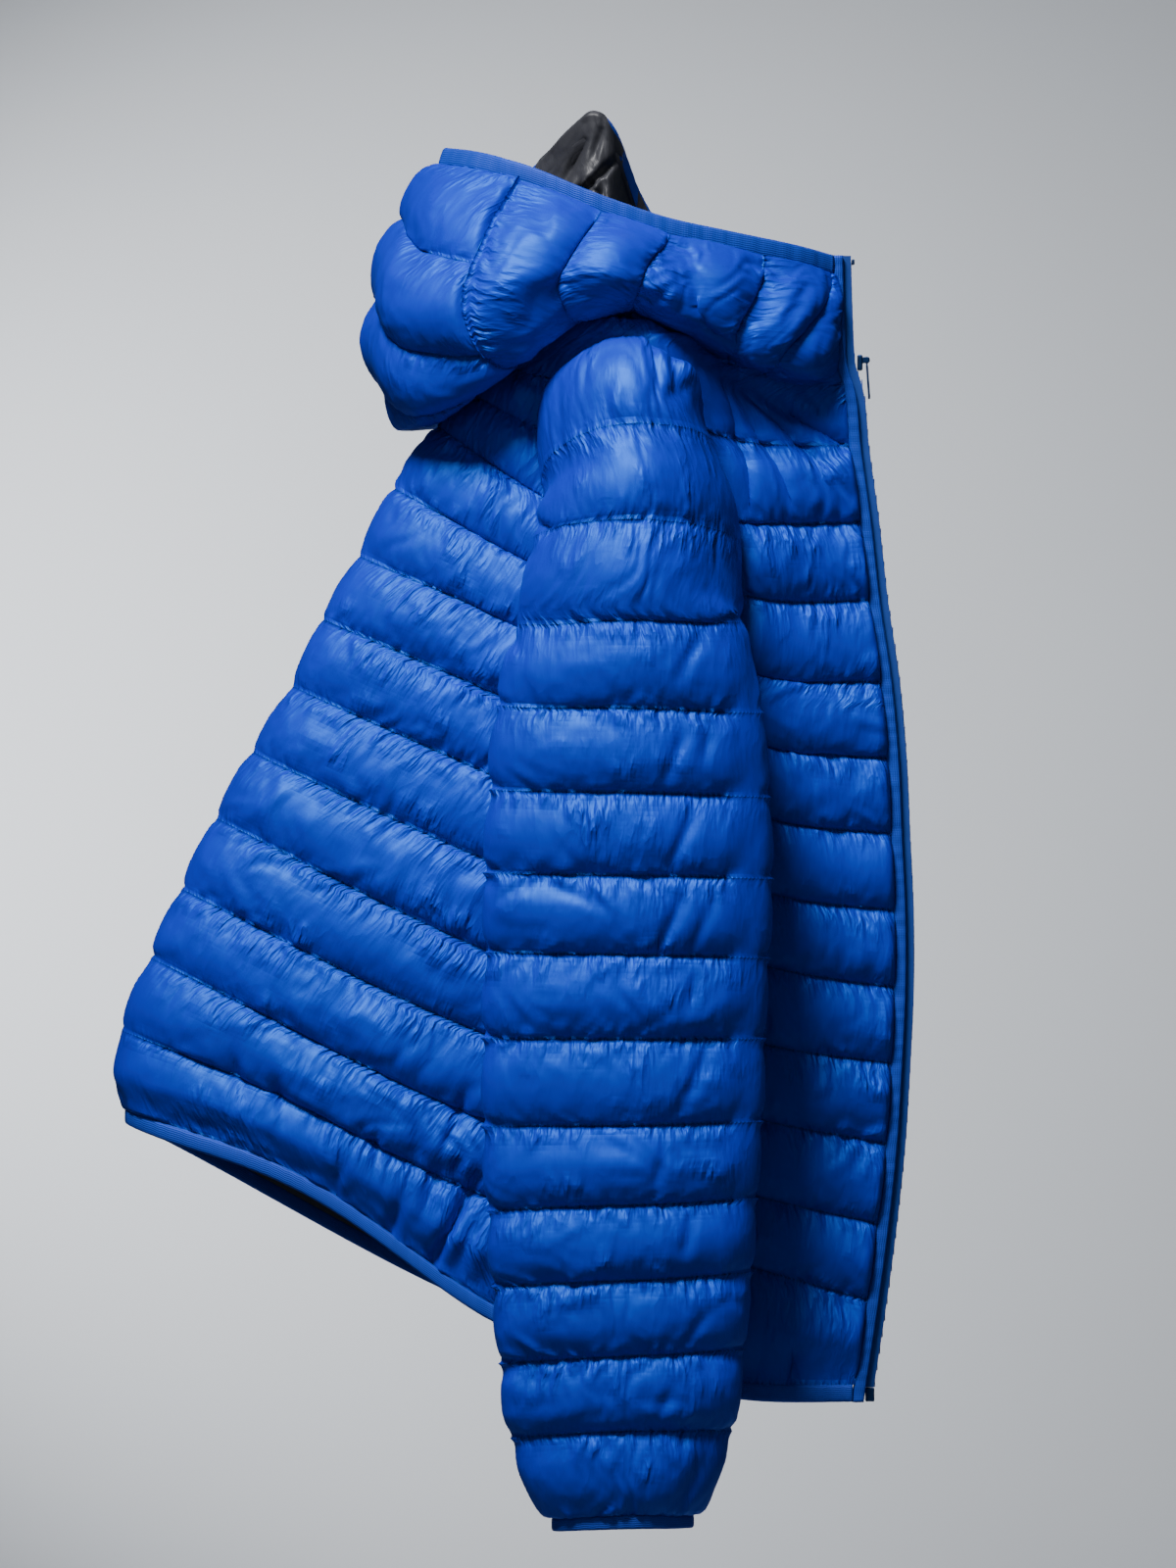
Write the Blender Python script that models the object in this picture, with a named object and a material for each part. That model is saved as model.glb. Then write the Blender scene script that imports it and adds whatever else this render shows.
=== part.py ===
"""Hooded down jacket, closed, hanging from the rim of its hood.

The jacket is folded in half down its centre back: the wearer's right half faces -Y, the front zip runs down
the +X edge and the back fold down the -X edge. The origin is the tip of the hood rim that holds it up, +Z up.
Every cloth piece is a wall with a plain inside; its quilting is raised in the outer points. The tables are in
millimetres, and the meshes in metres.
"""

import math

import bmesh
import bpy
import numpy as np
from mathutils import Matrix, Vector

MM = 0.001

# --- walls -------------------------------------------------------------------------------------------------
SEAM_GAP = 0.4          # between two pieces at a seam
STITCHED_WALL = 3.5     # wall along a stitch line
PADDED_WALL = 9.0       # wall at the crown of a down channel
HOOD_PADDED_WALL = 8.5
ROWS_PER_CHANNEL = 3
PILLOW = (0.0, 0.92, 1.0)     # share of the padding at each row of a channel, from its upper stitch line

# --- body: one row for each quilting seam, 0 = neck seam, 13 = hem seam --------------------------------------
# The seam's height where it crosses four guides: the back fold, the line behind the sleeve, the line before it
# and the front edge. x and z of each guide, then half the body's inner depth.
BODY_ROWS = [
    # row, fold_x, fold_z, back_x, back_z, front_x, front_z, edge_x, edge_z, depth
    (0.0, -60, -133, -16, -131, 84, -150, 158, -161, 28),
    (1.0, -60, -147, -24, -158, 71, -192, 162, -196, 35),
    (2.0, -66, -166, -30, -187, 84, -239, 168, -240, 39),
    (3.0, -83, -189, -36, -221, 97, -285, 173, -285, 42),
    (4.0, -108, -224, -41, -261, 103, -330, 180, -333, 44),
    (5.0, -128, -263, -41, -301, 108, -371, 184, -378, 46),
    (6.0, -148, -300, -55, -340, 110, -414, 186, -422, 48),
    (7.0, -166, -339, -59, -386, 114, -458, 188, -467, 49),
    (8.0, -190, -377, -62, -435, 112, -500, 188, -512, 50),
    (9.0, -211, -415, -62, -487, 110, -545, 186, -556, 50),
    (10.0, -231, -456, -66, -534, 104, -588, 183, -603, 50),
    (11.0, -248, -496, -66, -583, 100, -632, 178, -650, 50),
    (12.0, -264, -537, -67, -627, 95, -673, 172, -695, 49),
    (13.0, -267, -580, -52, -694, 88, -739, 165, -741, 46),
]
HEM_ROW = 13
SIDE_SEAM_TOP_X = 27.0
SIDE_SEAM_HEM_X = 21.0
ARMHOLE_TOP_ROW = 1 / 3
ARMHOLE_LOW_ROW = 13 / 3
ARMHOLE_BACK_REACH = 48.0    # from the side line to the armhole's edge, behind and before
ARMHOLE_FRONT_REACH = 50.0
ARMHOLE_FULLNESS = 0.55      # power of the armhole's curve, less is squarer
ARMHOLE_BACK_WIDEST = 0.45   # share of the way down where each side of the armhole reaches furthest
ARMHOLE_FRONT_WIDEST = 0.6
ARMHOLE_FADE = 26.0          # the padding thins to the armhole's edge over this width
UNDER_HOOD_WALL = 5.5        # crown of the channel that the hood lies on
NECK_SHOULDER_X = 55.0       # where the shoulder seam meets the neck seam
SHOULDER_LIFT = 15.0         # how far the shoulder tip stands above the row it is on, and out of the side
SHOULDER_OUT = 30.0
SHOULDER_WIDTH = 42.0
SHOULDER_HEIGHT = 34.0
SHOULDER_ROW_DROP = 45.0
DEEPEST = 0.42               # share of the way from fold to edge where the body is deepest
EDGE_DEPTH = 5.0             # inner half depth at the front edge
PANEL_INSET = 0.6            # from the edge binding to the panel's edge
NEAR_HEM_ARCH = 19.0         # the near half's back hem rides up by this, the far half's hangs straight
HEM_ARCH_ROWS = 2.5
BACK_COLUMNS_FOLD = (0.0, 0.02, 0.07, 0.2, 0.42, 0.7, 1.0)
BACK_COLUMNS = len(BACK_COLUMNS_FOLD) - 1
BACK_STRETCHES = [
    # node, first and last stitch line
    ("back_upper", 0, 5), ("back_middle", 5, 9), ("back_lower", 9, 13),
]
FRONT_COLUMNS = 5

# --- front edge, measured across it: 0 = outer edge of the edge binding ---------------------------------------
EDGE_INSET = 5.0             # the zip stands this far out of the edge binding
PLACKET_WIDTH = 6.0
PLACKET_IN, PLACKET_OUT = 4.7, 8.8
PLACKET_ROUNDING = 0.7
TAPE_THICK = 1.0
TAPE_ROOT, TAPE_BEND, TAPE_TIP = -4.0, 0.5, 4.6      # across: inside the binding, at its edge, by the teeth
COLLAR_EDGE = [
    # z, x of the edge binding's outer edge, above the neck seam
    (-85, 146.5), (-107, 147.0), (-128, 147.8), (-148, 149.0),
]

# --- sleeve: one row for each quilting seam, from the shoulder to the cuff -------------------------------------
# Height at the back edge, the middle and the front edge of the sleeve, its outline seen from the side, and the
# inner depth from the side of the body.
SLEEVE_ROWS = [
    # seam, z_back, z_mid, z_front, x_back, x_front, y_out, y_in
    (1, -219, -187, -200, -22, 65, -100, 0),
    (2, -262, -242, -258, -33, 82, -113, 0),
    (3, -303, -299, -303, -42, 88, -118, -48),
    (4, -349, -349, -353, -54, 99, -118, -66),
    (5, -396, -397, -400, -59, 103, -118, -71),
    (6, -443, -444, -446, -62, 104, -118, -73),
    (7, -488, -489, -491, -62, 103, -117, -74),
    (8, -537, -537, -537, -63, 101, -116, -74),
    (9, -587, -586, -584, -63, 99, -115, -74),
    (10, -635, -631, -628, -61, 96, -113, -73),
    (11, -678, -674, -670, -58, 93, -111, -72),
    (12, -722, -717, -714, -53, 88, -108, -70),
    (13, -764, -760, -760, -47, 82, -104, -66),
    (14, -810, -808, -808, -28, 64, -96, -62),
]
SLEEVE_CLOSED_SEAM = 3       # from here down the sleeve is a whole tube
SLEEVE_RIDGE_X = 25.0
SLEEVE_ROUNDNESS = 1.8
SLEEVE_COLUMNS = 14
SLEEVE_STRETCHES = [
    # name, first and last stitch line
    ("head", 0, 3), ("arm", 3, 8), ("forearm", 8, 14),
]
HEAD_DROP = 22.0             # how far down the armhole the sleeve's first row reaches
SLEEVE_SEAT = 0.6            # the sleeve's edge stands this far off the body's armhole edge
SLEEVE_CLEAR = 1.0           # the sleeve hangs this far off the body's padding
HALVINGS = 24                # steps of a search by halving

# --- hood: one row for each rib, from the centre of its back to the front edge -------------------------------
# A rib's place is its share of the way round. Four points of each: x, y and z of the rim, the upper and lower side
# and the bottom of the sag. From there it turns up to the stand and down into the neck seam.
HOOD_RIBS = [
    # place, rim, upper side, lower side, bottom
    (0.0, (-86, 0, -33), (-114, 0, -80), (-125, 0, -132), (-108, 0, -180)),
    (0.14, (-64, -28, -38), (-96, -40, -82), (-108, -50, -132), (-90, -44, -174)),
    (0.23, (-40, -42, -45), (-60, -66, -86), (-70, -76, -124), (-56, -68, -148)),
    (0.36, (0, -50, -62), (-8, -78, -82), (-10, -84, -98), (0, -76, -108)),
    (0.5, (38, -46, -75), (36, -68, -94), (40, -70, -108), (47, -60, -117)),
    (0.66, (76, -36, -83), (77, -52, -106), (78, -54, -127), (81, -46, -138)),
    (0.82, (114, -22, -90), (117, -32, -116), (117, -34, -138), (116, -30, -150)),
    (1.0, (143, -5, -96), (145, -5, -118), (147, -5, -138), (147, -5, -150)),
]
CENTRE_SEAM_RIB = 5
STAND_UP, STAND_OUT = 9.0, 6.0      # the turn of the hood's cloth above the neck seam, behind the shoulder
STAND_STARTS, STAND_ENDS = 0.45, 0.8     # shares of the way round between which that turn dies out
STAND_PADDING = 0.2                 # share of the padding on the turn
HOOD_SIDE_LINES = (5, 8, 12, 16, 20, 22)
HOOD_CENTRE_LINES = (0.0, 0.25, 0.5, 0.75, 1.0)
HOOD_STEPS = 12              # rows from the rim to the neck seam
STAND_STEPS = 3              # of these, the flat ones at the neck
# Folds of the slack hood: grooves between two places, each a rib and a share of the way down.
HOOD_FOLDS = [
    # rib, down, rib, down, half width in ribs, depth
    (8.8, 0.1, 6.4, 0.62, 1.1, 7.0),
    (12.4, 0.12, 13.4, 0.75, 1.2, 8.0),
    (16.8, 0.15, 15.4, 0.7, 1.0, 6.0),
    (20.2, 0.3, 17.6, 0.62, 0.9, 4.0),
    (0.0, 0.34, 3.6, 0.5, 1.1, 5.0),
    (0.6, 0.66, 4.2, 0.72, 1.1, 5.0),
]
# The far rim is drawn up to the point that holds the jacket: the lift over the rim, along x.
PEAK_LIFT = [
    # x, lift
    (-36, 0), (-25, 19), (-13, 35), (0, 51), (8, 48), (16, 45), (21, 33), (27, 15), (40, 0),
]
PEAK_SIDE = 4.0              # the tip hangs this near to the middle plane
PEAK_SHARES = (1.0, 0.42, 0.12)      # share of the lift at the rim, the upper and the lower side

# --- bindings ------------------------------------------------------------------------------------------------
HOOD_BINDING = 11.0
HEM_BINDING = 10.0
CUFF_BINDING = 8.5
BINDING_WALL = 3.0
BINDING_CROWN = 4.2

# --- zip parts, measured across from the outer edge of the edge binding ---------------------------------------
TEETH_ACROSS = (1.8, 4.9)
TEETH_HALF_WIDTH = 1.3
TEETH_PARTED = 0.2           # half the gap between the two rows of teeth above the slider
SLIDER_Z = -147.0
SLIDER_ACROSS = 6.1          # back of the slider's body, on the teeth
SLIDER_SIZE = (3.0, 8.0, 9.0)
LUG_SIZE = (4.4, 1.2, 3.4)
LUG_SIDE = 2.6
LUG_TIP = 1.4                # from the pin to the lugs' outer ends
PIN_ACROSS = 11.5
PIN_UP = 1.5                 # the pull's pin above the slider's middle
PIN_RADIUS = 0.7
EYE_RADIUS, EYE_HOLE, EYE_WIDTH = 2.0, 1.05, 3.4
HOLE_OVERRUN = 2.0
TAB_SIZE = (1.2, 5.0, 20.0)
TAB_DROP = 2.6               # from the pin to the top of the tab
TAB_NECK_SIZE = (0.9, 3.0, 2.6)
TAB_NECK_DROP = 2.55         # from the pin to the neck's middle
TAB_LEAN = math.radians(4)   # the tab follows the zip's lean
BOX_SIZE = (5.2, 6.4, 8.0)
BOX_ACROSS = 3.1
STOP_SIZE = (1.6, 2.0, 3.0)
STOP_ACROSS = 5.9
STOP_SIDE = 2.7
STOP_DROP = 3.5


def smooth(xs, ys, x):
    """Cubic curve through a table, read at x."""
    xs, ys = np.asarray(xs, float), np.asarray(ys, float)
    slope = np.gradient(ys, xs)
    x = np.clip(x, xs[0], xs[-1])
    i = np.clip(np.searchsorted(xs, x, side="right") - 1, 0, len(xs) - 2)
    span = xs[i + 1] - xs[i]
    t = (x - xs[i]) / span
    rise = (2 * t**3 - 3 * t**2 + 1) * ys[i] + (3 * t**2 - 2 * t**3) * ys[i + 1]
    bend = (t**3 - 2 * t**2 + t) * slope[i] + (t**3 - t**2) * slope[i + 1]
    return rise + bend * span


def unit(v):
    v = np.asarray(v, float)
    return v / np.linalg.norm(v, axis=-1, keepdims=True)


def mirrored(points):
    """The same points on the far side of the middle plane."""
    return np.asarray(points) * np.array([1.0, -1.0, 1.0])


# --- materials and meshes ------------------------------------------------------------------------------------
def material(name, colour, roughness, metallic=0.0):
    mat = bpy.data.materials.new(name)
    mat.use_nodes = True
    shader = mat.node_tree.nodes["Principled BSDF"]
    shader.inputs["Base Color"].default_value = (*colour, 1.0)
    shader.inputs["Roughness"].default_value = roughness
    shader.inputs["Metallic"].default_value = metallic
    mat.diffuse_color = (*colour, 1.0)
    return mat


SHELL = (0.012, 0.085, 0.45)
BINDING = (0.016, 0.12, 0.50)
TAPE = (0.010, 0.070, 0.36)
METAL = (0.10, 0.11, 0.13)
SHELL_ROUGHNESS, BINDING_ROUGHNESS, TAPE_ROUGHNESS, METAL_ROUGHNESS = 0.35, 0.45, 0.6, 0.35
METALLIC = 0.8
SHARP_ANGLE = math.radians(35)
WELD = 1e-6


def place(name, bm, colour, roughness, metallic=0.0):
    mesh = bpy.data.meshes.new(name)
    bmesh.ops.recalc_face_normals(bm, faces=bm.faces[:])
    bm.to_mesh(mesh)
    bm.free()
    mesh.shade_smooth()
    mesh.materials.append(material(name + "_finish", colour, roughness, metallic))
    obj = bpy.data.objects.new(name, mesh)
    bpy.data.collections["jacket"].objects.link(obj)
    return obj


def wall(name, inner, outer, colour=SHELL, roughness=SHELL_ROUGHNESS):
    """A cloth wall: a grid laid on the inner points, extruded, and its new skin moved to the outer points."""
    inner, outer = np.asarray(inner, float), np.asarray(outer, float)
    rows, columns = inner.shape[:2]
    bm = bmesh.new()
    bmesh.ops.create_grid(bm, x_segments=columns - 1, y_segments=rows - 1, size=1.0)
    place_of = bm.verts.layers.int.new("place")
    bm.verts.ensure_lookup_table()
    for k, vert in enumerate(bm.verts):
        vert[place_of] = k
        vert.co = Vector(inner.reshape(-1, 3)[k] * MM)
    bmesh.ops.remove_doubles(bm, verts=bm.verts[:], dist=WELD)
    grown = bmesh.ops.extrude_face_region(bm, geom=bm.faces[:], use_keep_orig=True)
    for item in grown["geom"]:
        if isinstance(item, bmesh.types.BMVert):
            item.co = Vector(outer.reshape(-1, 3)[item[place_of]] * MM)
    bmesh.ops.triangulate(bm, faces=bm.faces[:], quad_method="SHORT_EDGE")
    return place(name, bm, colour, roughness)


# --- body ------------------------------------------------------------------------------------------------------
BODY = np.array(BODY_ROWS)
STRAIGHT_OUT = np.array([0.0, -1.0, 0.0])    # out of the near half, square to the front edge


def guide(row, column):
    return smooth(BODY[:, 0], BODY[:, column], row)


def side_x(row):
    """The line of the shoulder seam, the armhole's middle and the side seam."""
    if row < ARMHOLE_TOP_ROW:
        return np.interp(row, [0, ARMHOLE_TOP_ROW], [NECK_SHOULDER_X, SIDE_SEAM_TOP_X])
    return np.interp(row, [ARMHOLE_LOW_ROW, HEM_ROW], [SIDE_SEAM_TOP_X, SIDE_SEAM_HEM_X])


def armhole_share(row, widest):
    """0 at the armhole's top and bottom, 1 where it is widest."""
    down = np.clip((row - ARMHOLE_TOP_ROW) / (ARMHOLE_LOW_ROW - ARMHOLE_TOP_ROW), 0.0, 1.0)
    down = down ** (math.log(0.5) / math.log(widest))
    return (4.0 * down * (1.0 - down)) ** ARMHOLE_FULLNESS


def back_edge_x(row):
    return side_x(row) - ARMHOLE_BACK_REACH * armhole_share(row, ARMHOLE_BACK_WIDEST)


def front_edge_x(row):
    return side_x(row) + ARMHOLE_FRONT_REACH * armhole_share(row, ARMHOLE_FRONT_WIDEST)


def edge_curve(z):
    """x of the outer edge of the edge binding at a height, from the hem to the hood rim."""
    zs = [r[0] for r in COLLAR_EDGE] + list(BODY[:, 8]) + [BODY[-1, 8] - HEM_BINDING]
    xs = [r[1] for r in COLLAR_EDGE] + list(BODY[:, 7] - EDGE_INSET) + [BODY[-1, 7] - EDGE_INSET - 1.5]
    return float(smooth(-np.array(zs), xs, -z))


def beside_placket(z):
    """x where cloth ends at the inner edge of the edge binding."""
    return edge_curve(z) - PLACKET_WIDTH - PANEL_INSET


def panel_edge_x(row):
    return beside_placket(float(guide(row, 8)))


def shoulder(row, x):
    """How strongly a point belongs to the shoulder tip, from 0 to 1."""
    if row <= 0:
        return 0.0
    drop = SHOULDER_ROW_DROP * (row - ARMHOLE_TOP_ROW)
    across = (x - SIDE_SEAM_TOP_X) / SHOULDER_WIDTH
    return math.exp(-(across**2) - (drop / SHOULDER_HEIGHT) ** 2)


def body_point(row, x, near=True):
    """Inner surface of the near half, from the fold to the front edge. The far half is its mirror image but for
    the straight hem, and comes back mirrored to the near side."""
    xs = [guide(row, k) for k in (1, 3, 5, 7)]
    zs = [guide(row, k) for k in (2, 4, 6, 8)]
    z = float(smooth(xs, zs, x))
    share = (x - xs[0]) / (xs[3] - xs[0])
    depth = float(guide(row, 9))
    if share < DEEPEST:
        y = depth * math.sqrt(max(0.0, 1.0 - (1.0 - share / DEEPEST) ** 2))
    else:
        fall = min((share - DEEPEST) / (1.0 - DEEPEST), 1.0)
        y = EDGE_DEPTH + (depth - EDGE_DEPTH) * (0.5 + 0.5 * math.cos(math.pi * fall))
    tip = shoulder(row, x)
    z += SHOULDER_LIFT * tip
    y += SHOULDER_OUT * tip
    if near and row > HEM_ROW - HEM_ARCH_ROWS:
        behind = np.clip((x - xs[0]) / (xs[1] - xs[0]), 0.0, 1.0)
        grip = (row - HEM_ROW + HEM_ARCH_ROWS) / HEM_ARCH_ROWS
        z += NEAR_HEM_ARCH * grip**2 * math.sin(math.pi * behind) ** 1.5
    return np.array([x, -y, z])


def body_normal(row, x, near=True):
    """Outward direction of the body's wall, level along the neck seam."""
    across = body_point(row, x + 0.5, near) - body_point(row, x - 0.5, near)
    if row <= 0.0:
        flat = np.array([across[1], -across[0], 0.0])
        return unit(flat)
    up, down = max(row - 0.05, 0.01), min(row + 0.05, HEM_ROW)
    along = body_point(down, x, near) - body_point(up, x, near)
    return unit(np.cross(along, across))


def channel(row, crown=PADDED_WALL):
    """Wall thickness across a down channel."""
    step = int(round((row % 1.0) * ROWS_PER_CHANNEL)) % ROWS_PER_CHANNEL
    return STITCHED_WALL + (crown - STITCHED_WALL) * PILLOW[step]


def ease(t):
    t = np.clip(t, 0.0, 1.0)
    return t * t * (3 - 2 * t)


def panel_wall(row, x):
    """Wall thickness of a body panel: thin under the hood's sag and round the armhole."""
    thick = channel(row, UNDER_HOOD_WALL if row < 1.0 else PADDED_WALL)
    if row > ARMHOLE_LOW_ROW + 1:
        return thick
    away = min(abs(x - back_edge_x(row)), abs(x - front_edge_x(row)))
    return STITCHED_WALL + (thick - STITCHED_WALL) * float(ease(away / ARMHOLE_FADE))


def body_rows():
    return [k / ROWS_PER_CHANNEL for k in range(HEM_ROW * ROWS_PER_CHANNEL + 1)]


def back_columns(row):
    """Even along the neck seam, and closer together round the fold from the third seam down."""
    mix = min(row / 3.0, 1.0)
    return [mix * f + (1 - mix) * k / BACK_COLUMNS for k, f in enumerate(BACK_COLUMNS_FOLD)]


def half_panel(columns_of, left_x, right_x, at_front, near=True):
    """Inner and outer points of a panel of the near half, by rows and columns, thin where it is sewn to another."""
    inner, outer = [], []
    for row in body_rows():
        x0, x1 = left_x(row), right_x(row)
        columns = columns_of(row)
        last = len(columns) - 1
        line_in, line_out = [], []
        for k, share in enumerate(columns):
            x = x0 + share * (x1 - x0)
            point = body_point(row, x, near)
            out = STRAIGHT_OUT if at_front and k == last else body_normal(row, x, near)
            sewn = row == 0 or k == last or (at_front and k == 0)
            line_in.append(point)
            line_out.append(point + out * (STITCHED_WALL if sewn else panel_wall(row, x)))
        inner.append(line_in)
        outer.append(line_out)
    return np.array(inner), np.array(outer)


def part_edges(inner, outer, left=SEAM_GAP, right=SEAM_GAP, top=SEAM_GAP, low=SEAM_GAP):
    """Draw the edges of a panel in by half the gap at each seam."""
    for gap, edge, beside in (
        (left, np.s_[:, 0], np.s_[:, 1]),
        (right, np.s_[:, -1], np.s_[:, -2]),
        (top, np.s_[0], np.s_[1]),
        (low, np.s_[-1], np.s_[-2]),
    ):
        shift = unit(inner[beside] - inner[edge]) * gap / 2
        inner[edge] += shift
        outer[edge] += shift
    return inner, outer


def cut_wall(stretches, inner, outer):
    """A long panel as several nodes, which meet a seam gap apart on its stitch lines."""
    for name, first, last in stretches:
        top, low = first * ROWS_PER_CHANNEL, last * ROWS_PER_CHANNEL
        stretch_in, stretch_out = inner[top : low + 1].copy(), outer[top : low + 1].copy()
        at_top = SEAM_GAP if top > 0 else 0.0
        at_low = SEAM_GAP if low < len(inner) - 1 else 0.0
        stretch_in, stretch_out = part_edges(stretch_in, stretch_out, 0.0, 0.0, at_top, at_low)
        wall(name, stretch_in, stretch_out)


def fold_x(row):
    return float(guide(row, 1))


def make_back():
    """The back, one panel from the near side seam round the fold to the far side seam."""
    near_in, near_out = half_panel(back_columns, fold_x, back_edge_x, False)
    far_in, far_out = half_panel(back_columns, fold_x, back_edge_x, False, near=False)
    inner = np.concatenate([near_in[:, ::-1], mirrored(far_in[:, 1:])], axis=1)
    outer = np.concatenate([near_out[:, ::-1], mirrored(far_out[:, 1:])], axis=1)
    inner, outer = part_edges(inner, outer)
    cut_wall(BACK_STRETCHES, inner, outer)


def even_front(_):
    return np.linspace(0.0, 1.0, FRONT_COLUMNS + 1)


def make_fronts():
    inner, outer = half_panel(even_front, front_edge_x, panel_edge_x, True)
    inner, outer = part_edges(inner, outer, right=0.0)
    wall("front_right", inner, outer)
    wall("front_left", mirrored(inner), mirrored(outer))


# --- sleeves ---------------------------------------------------------------------------------------------------
SLEEVE = np.array(SLEEVE_ROWS, float)


def armhole_edge(edge_x):
    """Points on the outside of the body along one side of the armhole, from the shoulder down."""
    points = []
    for row in np.linspace(ARMHOLE_TOP_ROW, ARMHOLE_LOW_ROW, 61):
        x = edge_x(row)
        lift = STITCHED_WALL + SLEEVE_SEAT
        points.append(body_point(row, x) + body_normal(row, x) * lift)
    return np.array(points)


def at_height(edge, z):
    """The armhole edge at a height."""
    order = np.argsort(edge[:, 2])
    return np.array([np.interp(z, edge[order, 2], edge[order, k]) for k in range(3)])


def bent(value, power):
    return math.copysign(abs(value) ** power, value)


def clear_of_body(point):
    """Move a point of the sleeve's inside out until its wall hangs clear of the body's padding."""
    x, y, z = point
    low, high = ARMHOLE_TOP_ROW, float(HEM_ROW)
    if z < body_point(high, x)[2] or x > panel_edge_x(HEM_ROW):
        return point
    for _ in range(HALVINGS):
        row = (low + high) / 2
        low, high = (row, high) if body_point(row, x)[2] > z else (low, row)
    limit = body_point(low, x)[1] - 2 * PADDED_WALL - SLEEVE_CLEAR
    return [x, min(y, limit), z]


def sleeve_row_table(seam):
    return [float(smooth(SLEEVE[:, 0], SLEEVE[:, k], max(seam, 1.0))) for k in range(1, 8)]


def cap_row(seam, back_edge, front_edge):
    """An open row of the sleeve's head, from the armhole's back edge over the outside to its front edge."""
    z_back, z_mid, z_front, x_back, x_front, y_out, _ = sleeve_row_table(seam)
    tip, low = back_edge[0], back_edge[-1, 2]
    if seam < 1.0:
        z_mid = tip[2] + (z_mid - tip[2]) * seam**1.3
        y_out = tip[1] + (y_out - tip[1]) * math.sin(0.5 * math.pi * seam)
        z_back = tip[2] - HEAD_DROP + (z_back - tip[2] + HEAD_DROP) * seam
        z_front = tip[2] - HEAD_DROP + (z_front - tip[2] + HEAD_DROP) * seam
    if seam > 2.0:
        z_back += (low - z_back) * (seam - 2.0) ** 2
        z_front += (low - z_front) * (seam - 2.0) ** 2
    halves = []
    power = 2.0 / SLEEVE_ROUNDNESS
    for edge, z_end, x_side, sign in ((back_edge, z_back, x_back, -1), (front_edge, z_front, x_front, 1)):
        end = at_height(edge, max(z_end, low))
        inset = abs(end[0] - SLEEVE_RIDGE_X)
        reach = max(abs(x_side - SLEEVE_RIDGE_X) - PADDED_WALL, inset + 0.5)
        turn = math.acos((inset / reach) ** (1.0 / power))
        end[1] -= STITCHED_WALL * math.sin(turn)
        half = (end[1] - y_out) / (1.0 + math.sin(turn) ** power)
        side = [end]
        for k in range(1, SLEEVE_COLUMNS // 2 + 1):
            angle = -turn + (math.pi / 2 + turn) * k / (SLEEVE_COLUMNS // 2)
            x = SLEEVE_RIDGE_X + sign * reach * bent(math.cos(angle), power)
            y = y_out + half - half * bent(math.sin(angle), power)
            down = (1.0 - math.sin(angle)) / (1.0 + math.sin(turn))
            point = [x, y, z_mid + (end[2] - z_mid) * down]
            side.append(clear_of_body(point) if angle < 0 else point)
        halves.append(side)
    return np.array(halves[0] + halves[1][::-1][1:])


def tube_row(seam, underarm):
    """A whole ring of the sleeve, from the underarm seam round the back edge and the outside."""
    z_back, z_mid, z_front, x_back, x_front, y_out, y_in = sleeve_row_table(seam)
    power = 2.0 / SLEEVE_ROUNDNESS
    centre, half = (y_in + y_out) / 2, (y_in - y_out) / 2
    ring = []
    for k in range(SLEEVE_COLUMNS + 1):
        angle = -math.pi / 2 + 2 * math.pi * k / SLEEVE_COLUMNS
        side = math.cos(angle)
        reach = (SLEEVE_RIDGE_X - x_back if side > 0 else x_front - SLEEVE_RIDGE_X) - PADDED_WALL
        x = SLEEVE_RIDGE_X - reach * bent(side, power)
        y = centre - half * bent(math.sin(angle), power)
        z_edge = z_back if side > 0 else z_front
        z_level = z_mid if math.sin(angle) > 0 else (z_back + z_front) / 2
        point = [x, y, z_level + (z_edge - z_level) * abs(side) ** 1.5]
        ring.append(clear_of_body(point) if math.sin(angle) < 0.5 else point)
    if seam == SLEEVE_CLOSED_SEAM:
        ring[0] = ring[-1] = underarm - (0.0, STITCHED_WALL, 0.0)
    return np.array(ring)


def head_row(back_edge, front_edge):
    """The first row of the sleeve, which lies along the head of the armhole."""
    half = SLEEVE_COLUMNS // 2
    tip = back_edge[0, 2]
    back = [at_height(back_edge, z) for z in np.linspace(tip - HEAD_DROP, tip, half + 1)]
    front = [at_height(front_edge, z) for z in np.linspace(tip, tip - HEAD_DROP, half + 1)]
    return np.array(back + front[1:])


def sleeve_surface():
    """Inner points of the right sleeve by rows, from the armhole's head to the cuff seam."""
    back_edge, front_edge = armhole_edge(back_edge_x), armhole_edge(front_edge_x)
    rows = [head_row(back_edge, front_edge)]
    for k in range(1, len(SLEEVE_ROWS) * ROWS_PER_CHANNEL + 1):
        seam = k / ROWS_PER_CHANNEL
        if seam < SLEEVE_CLOSED_SEAM:
            rows.append(cap_row(seam, back_edge, front_edge))
        else:
            rows.append(tube_row(seam, back_edge[-1]))
    return np.array(rows)


def grid_normals(points, closed_from=None):
    """Outward directions of a grid whose columns run from the back edge over the outside."""
    along = np.gradient(points, axis=0)
    across = np.gradient(points, axis=1)
    if closed_from is not None:
        wrap = points[closed_from:, 1] - points[closed_from:, -2]
        across[closed_from:, 0] = wrap
        across[closed_from:, -1] = wrap
    return unit(np.cross(along, across))


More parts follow.
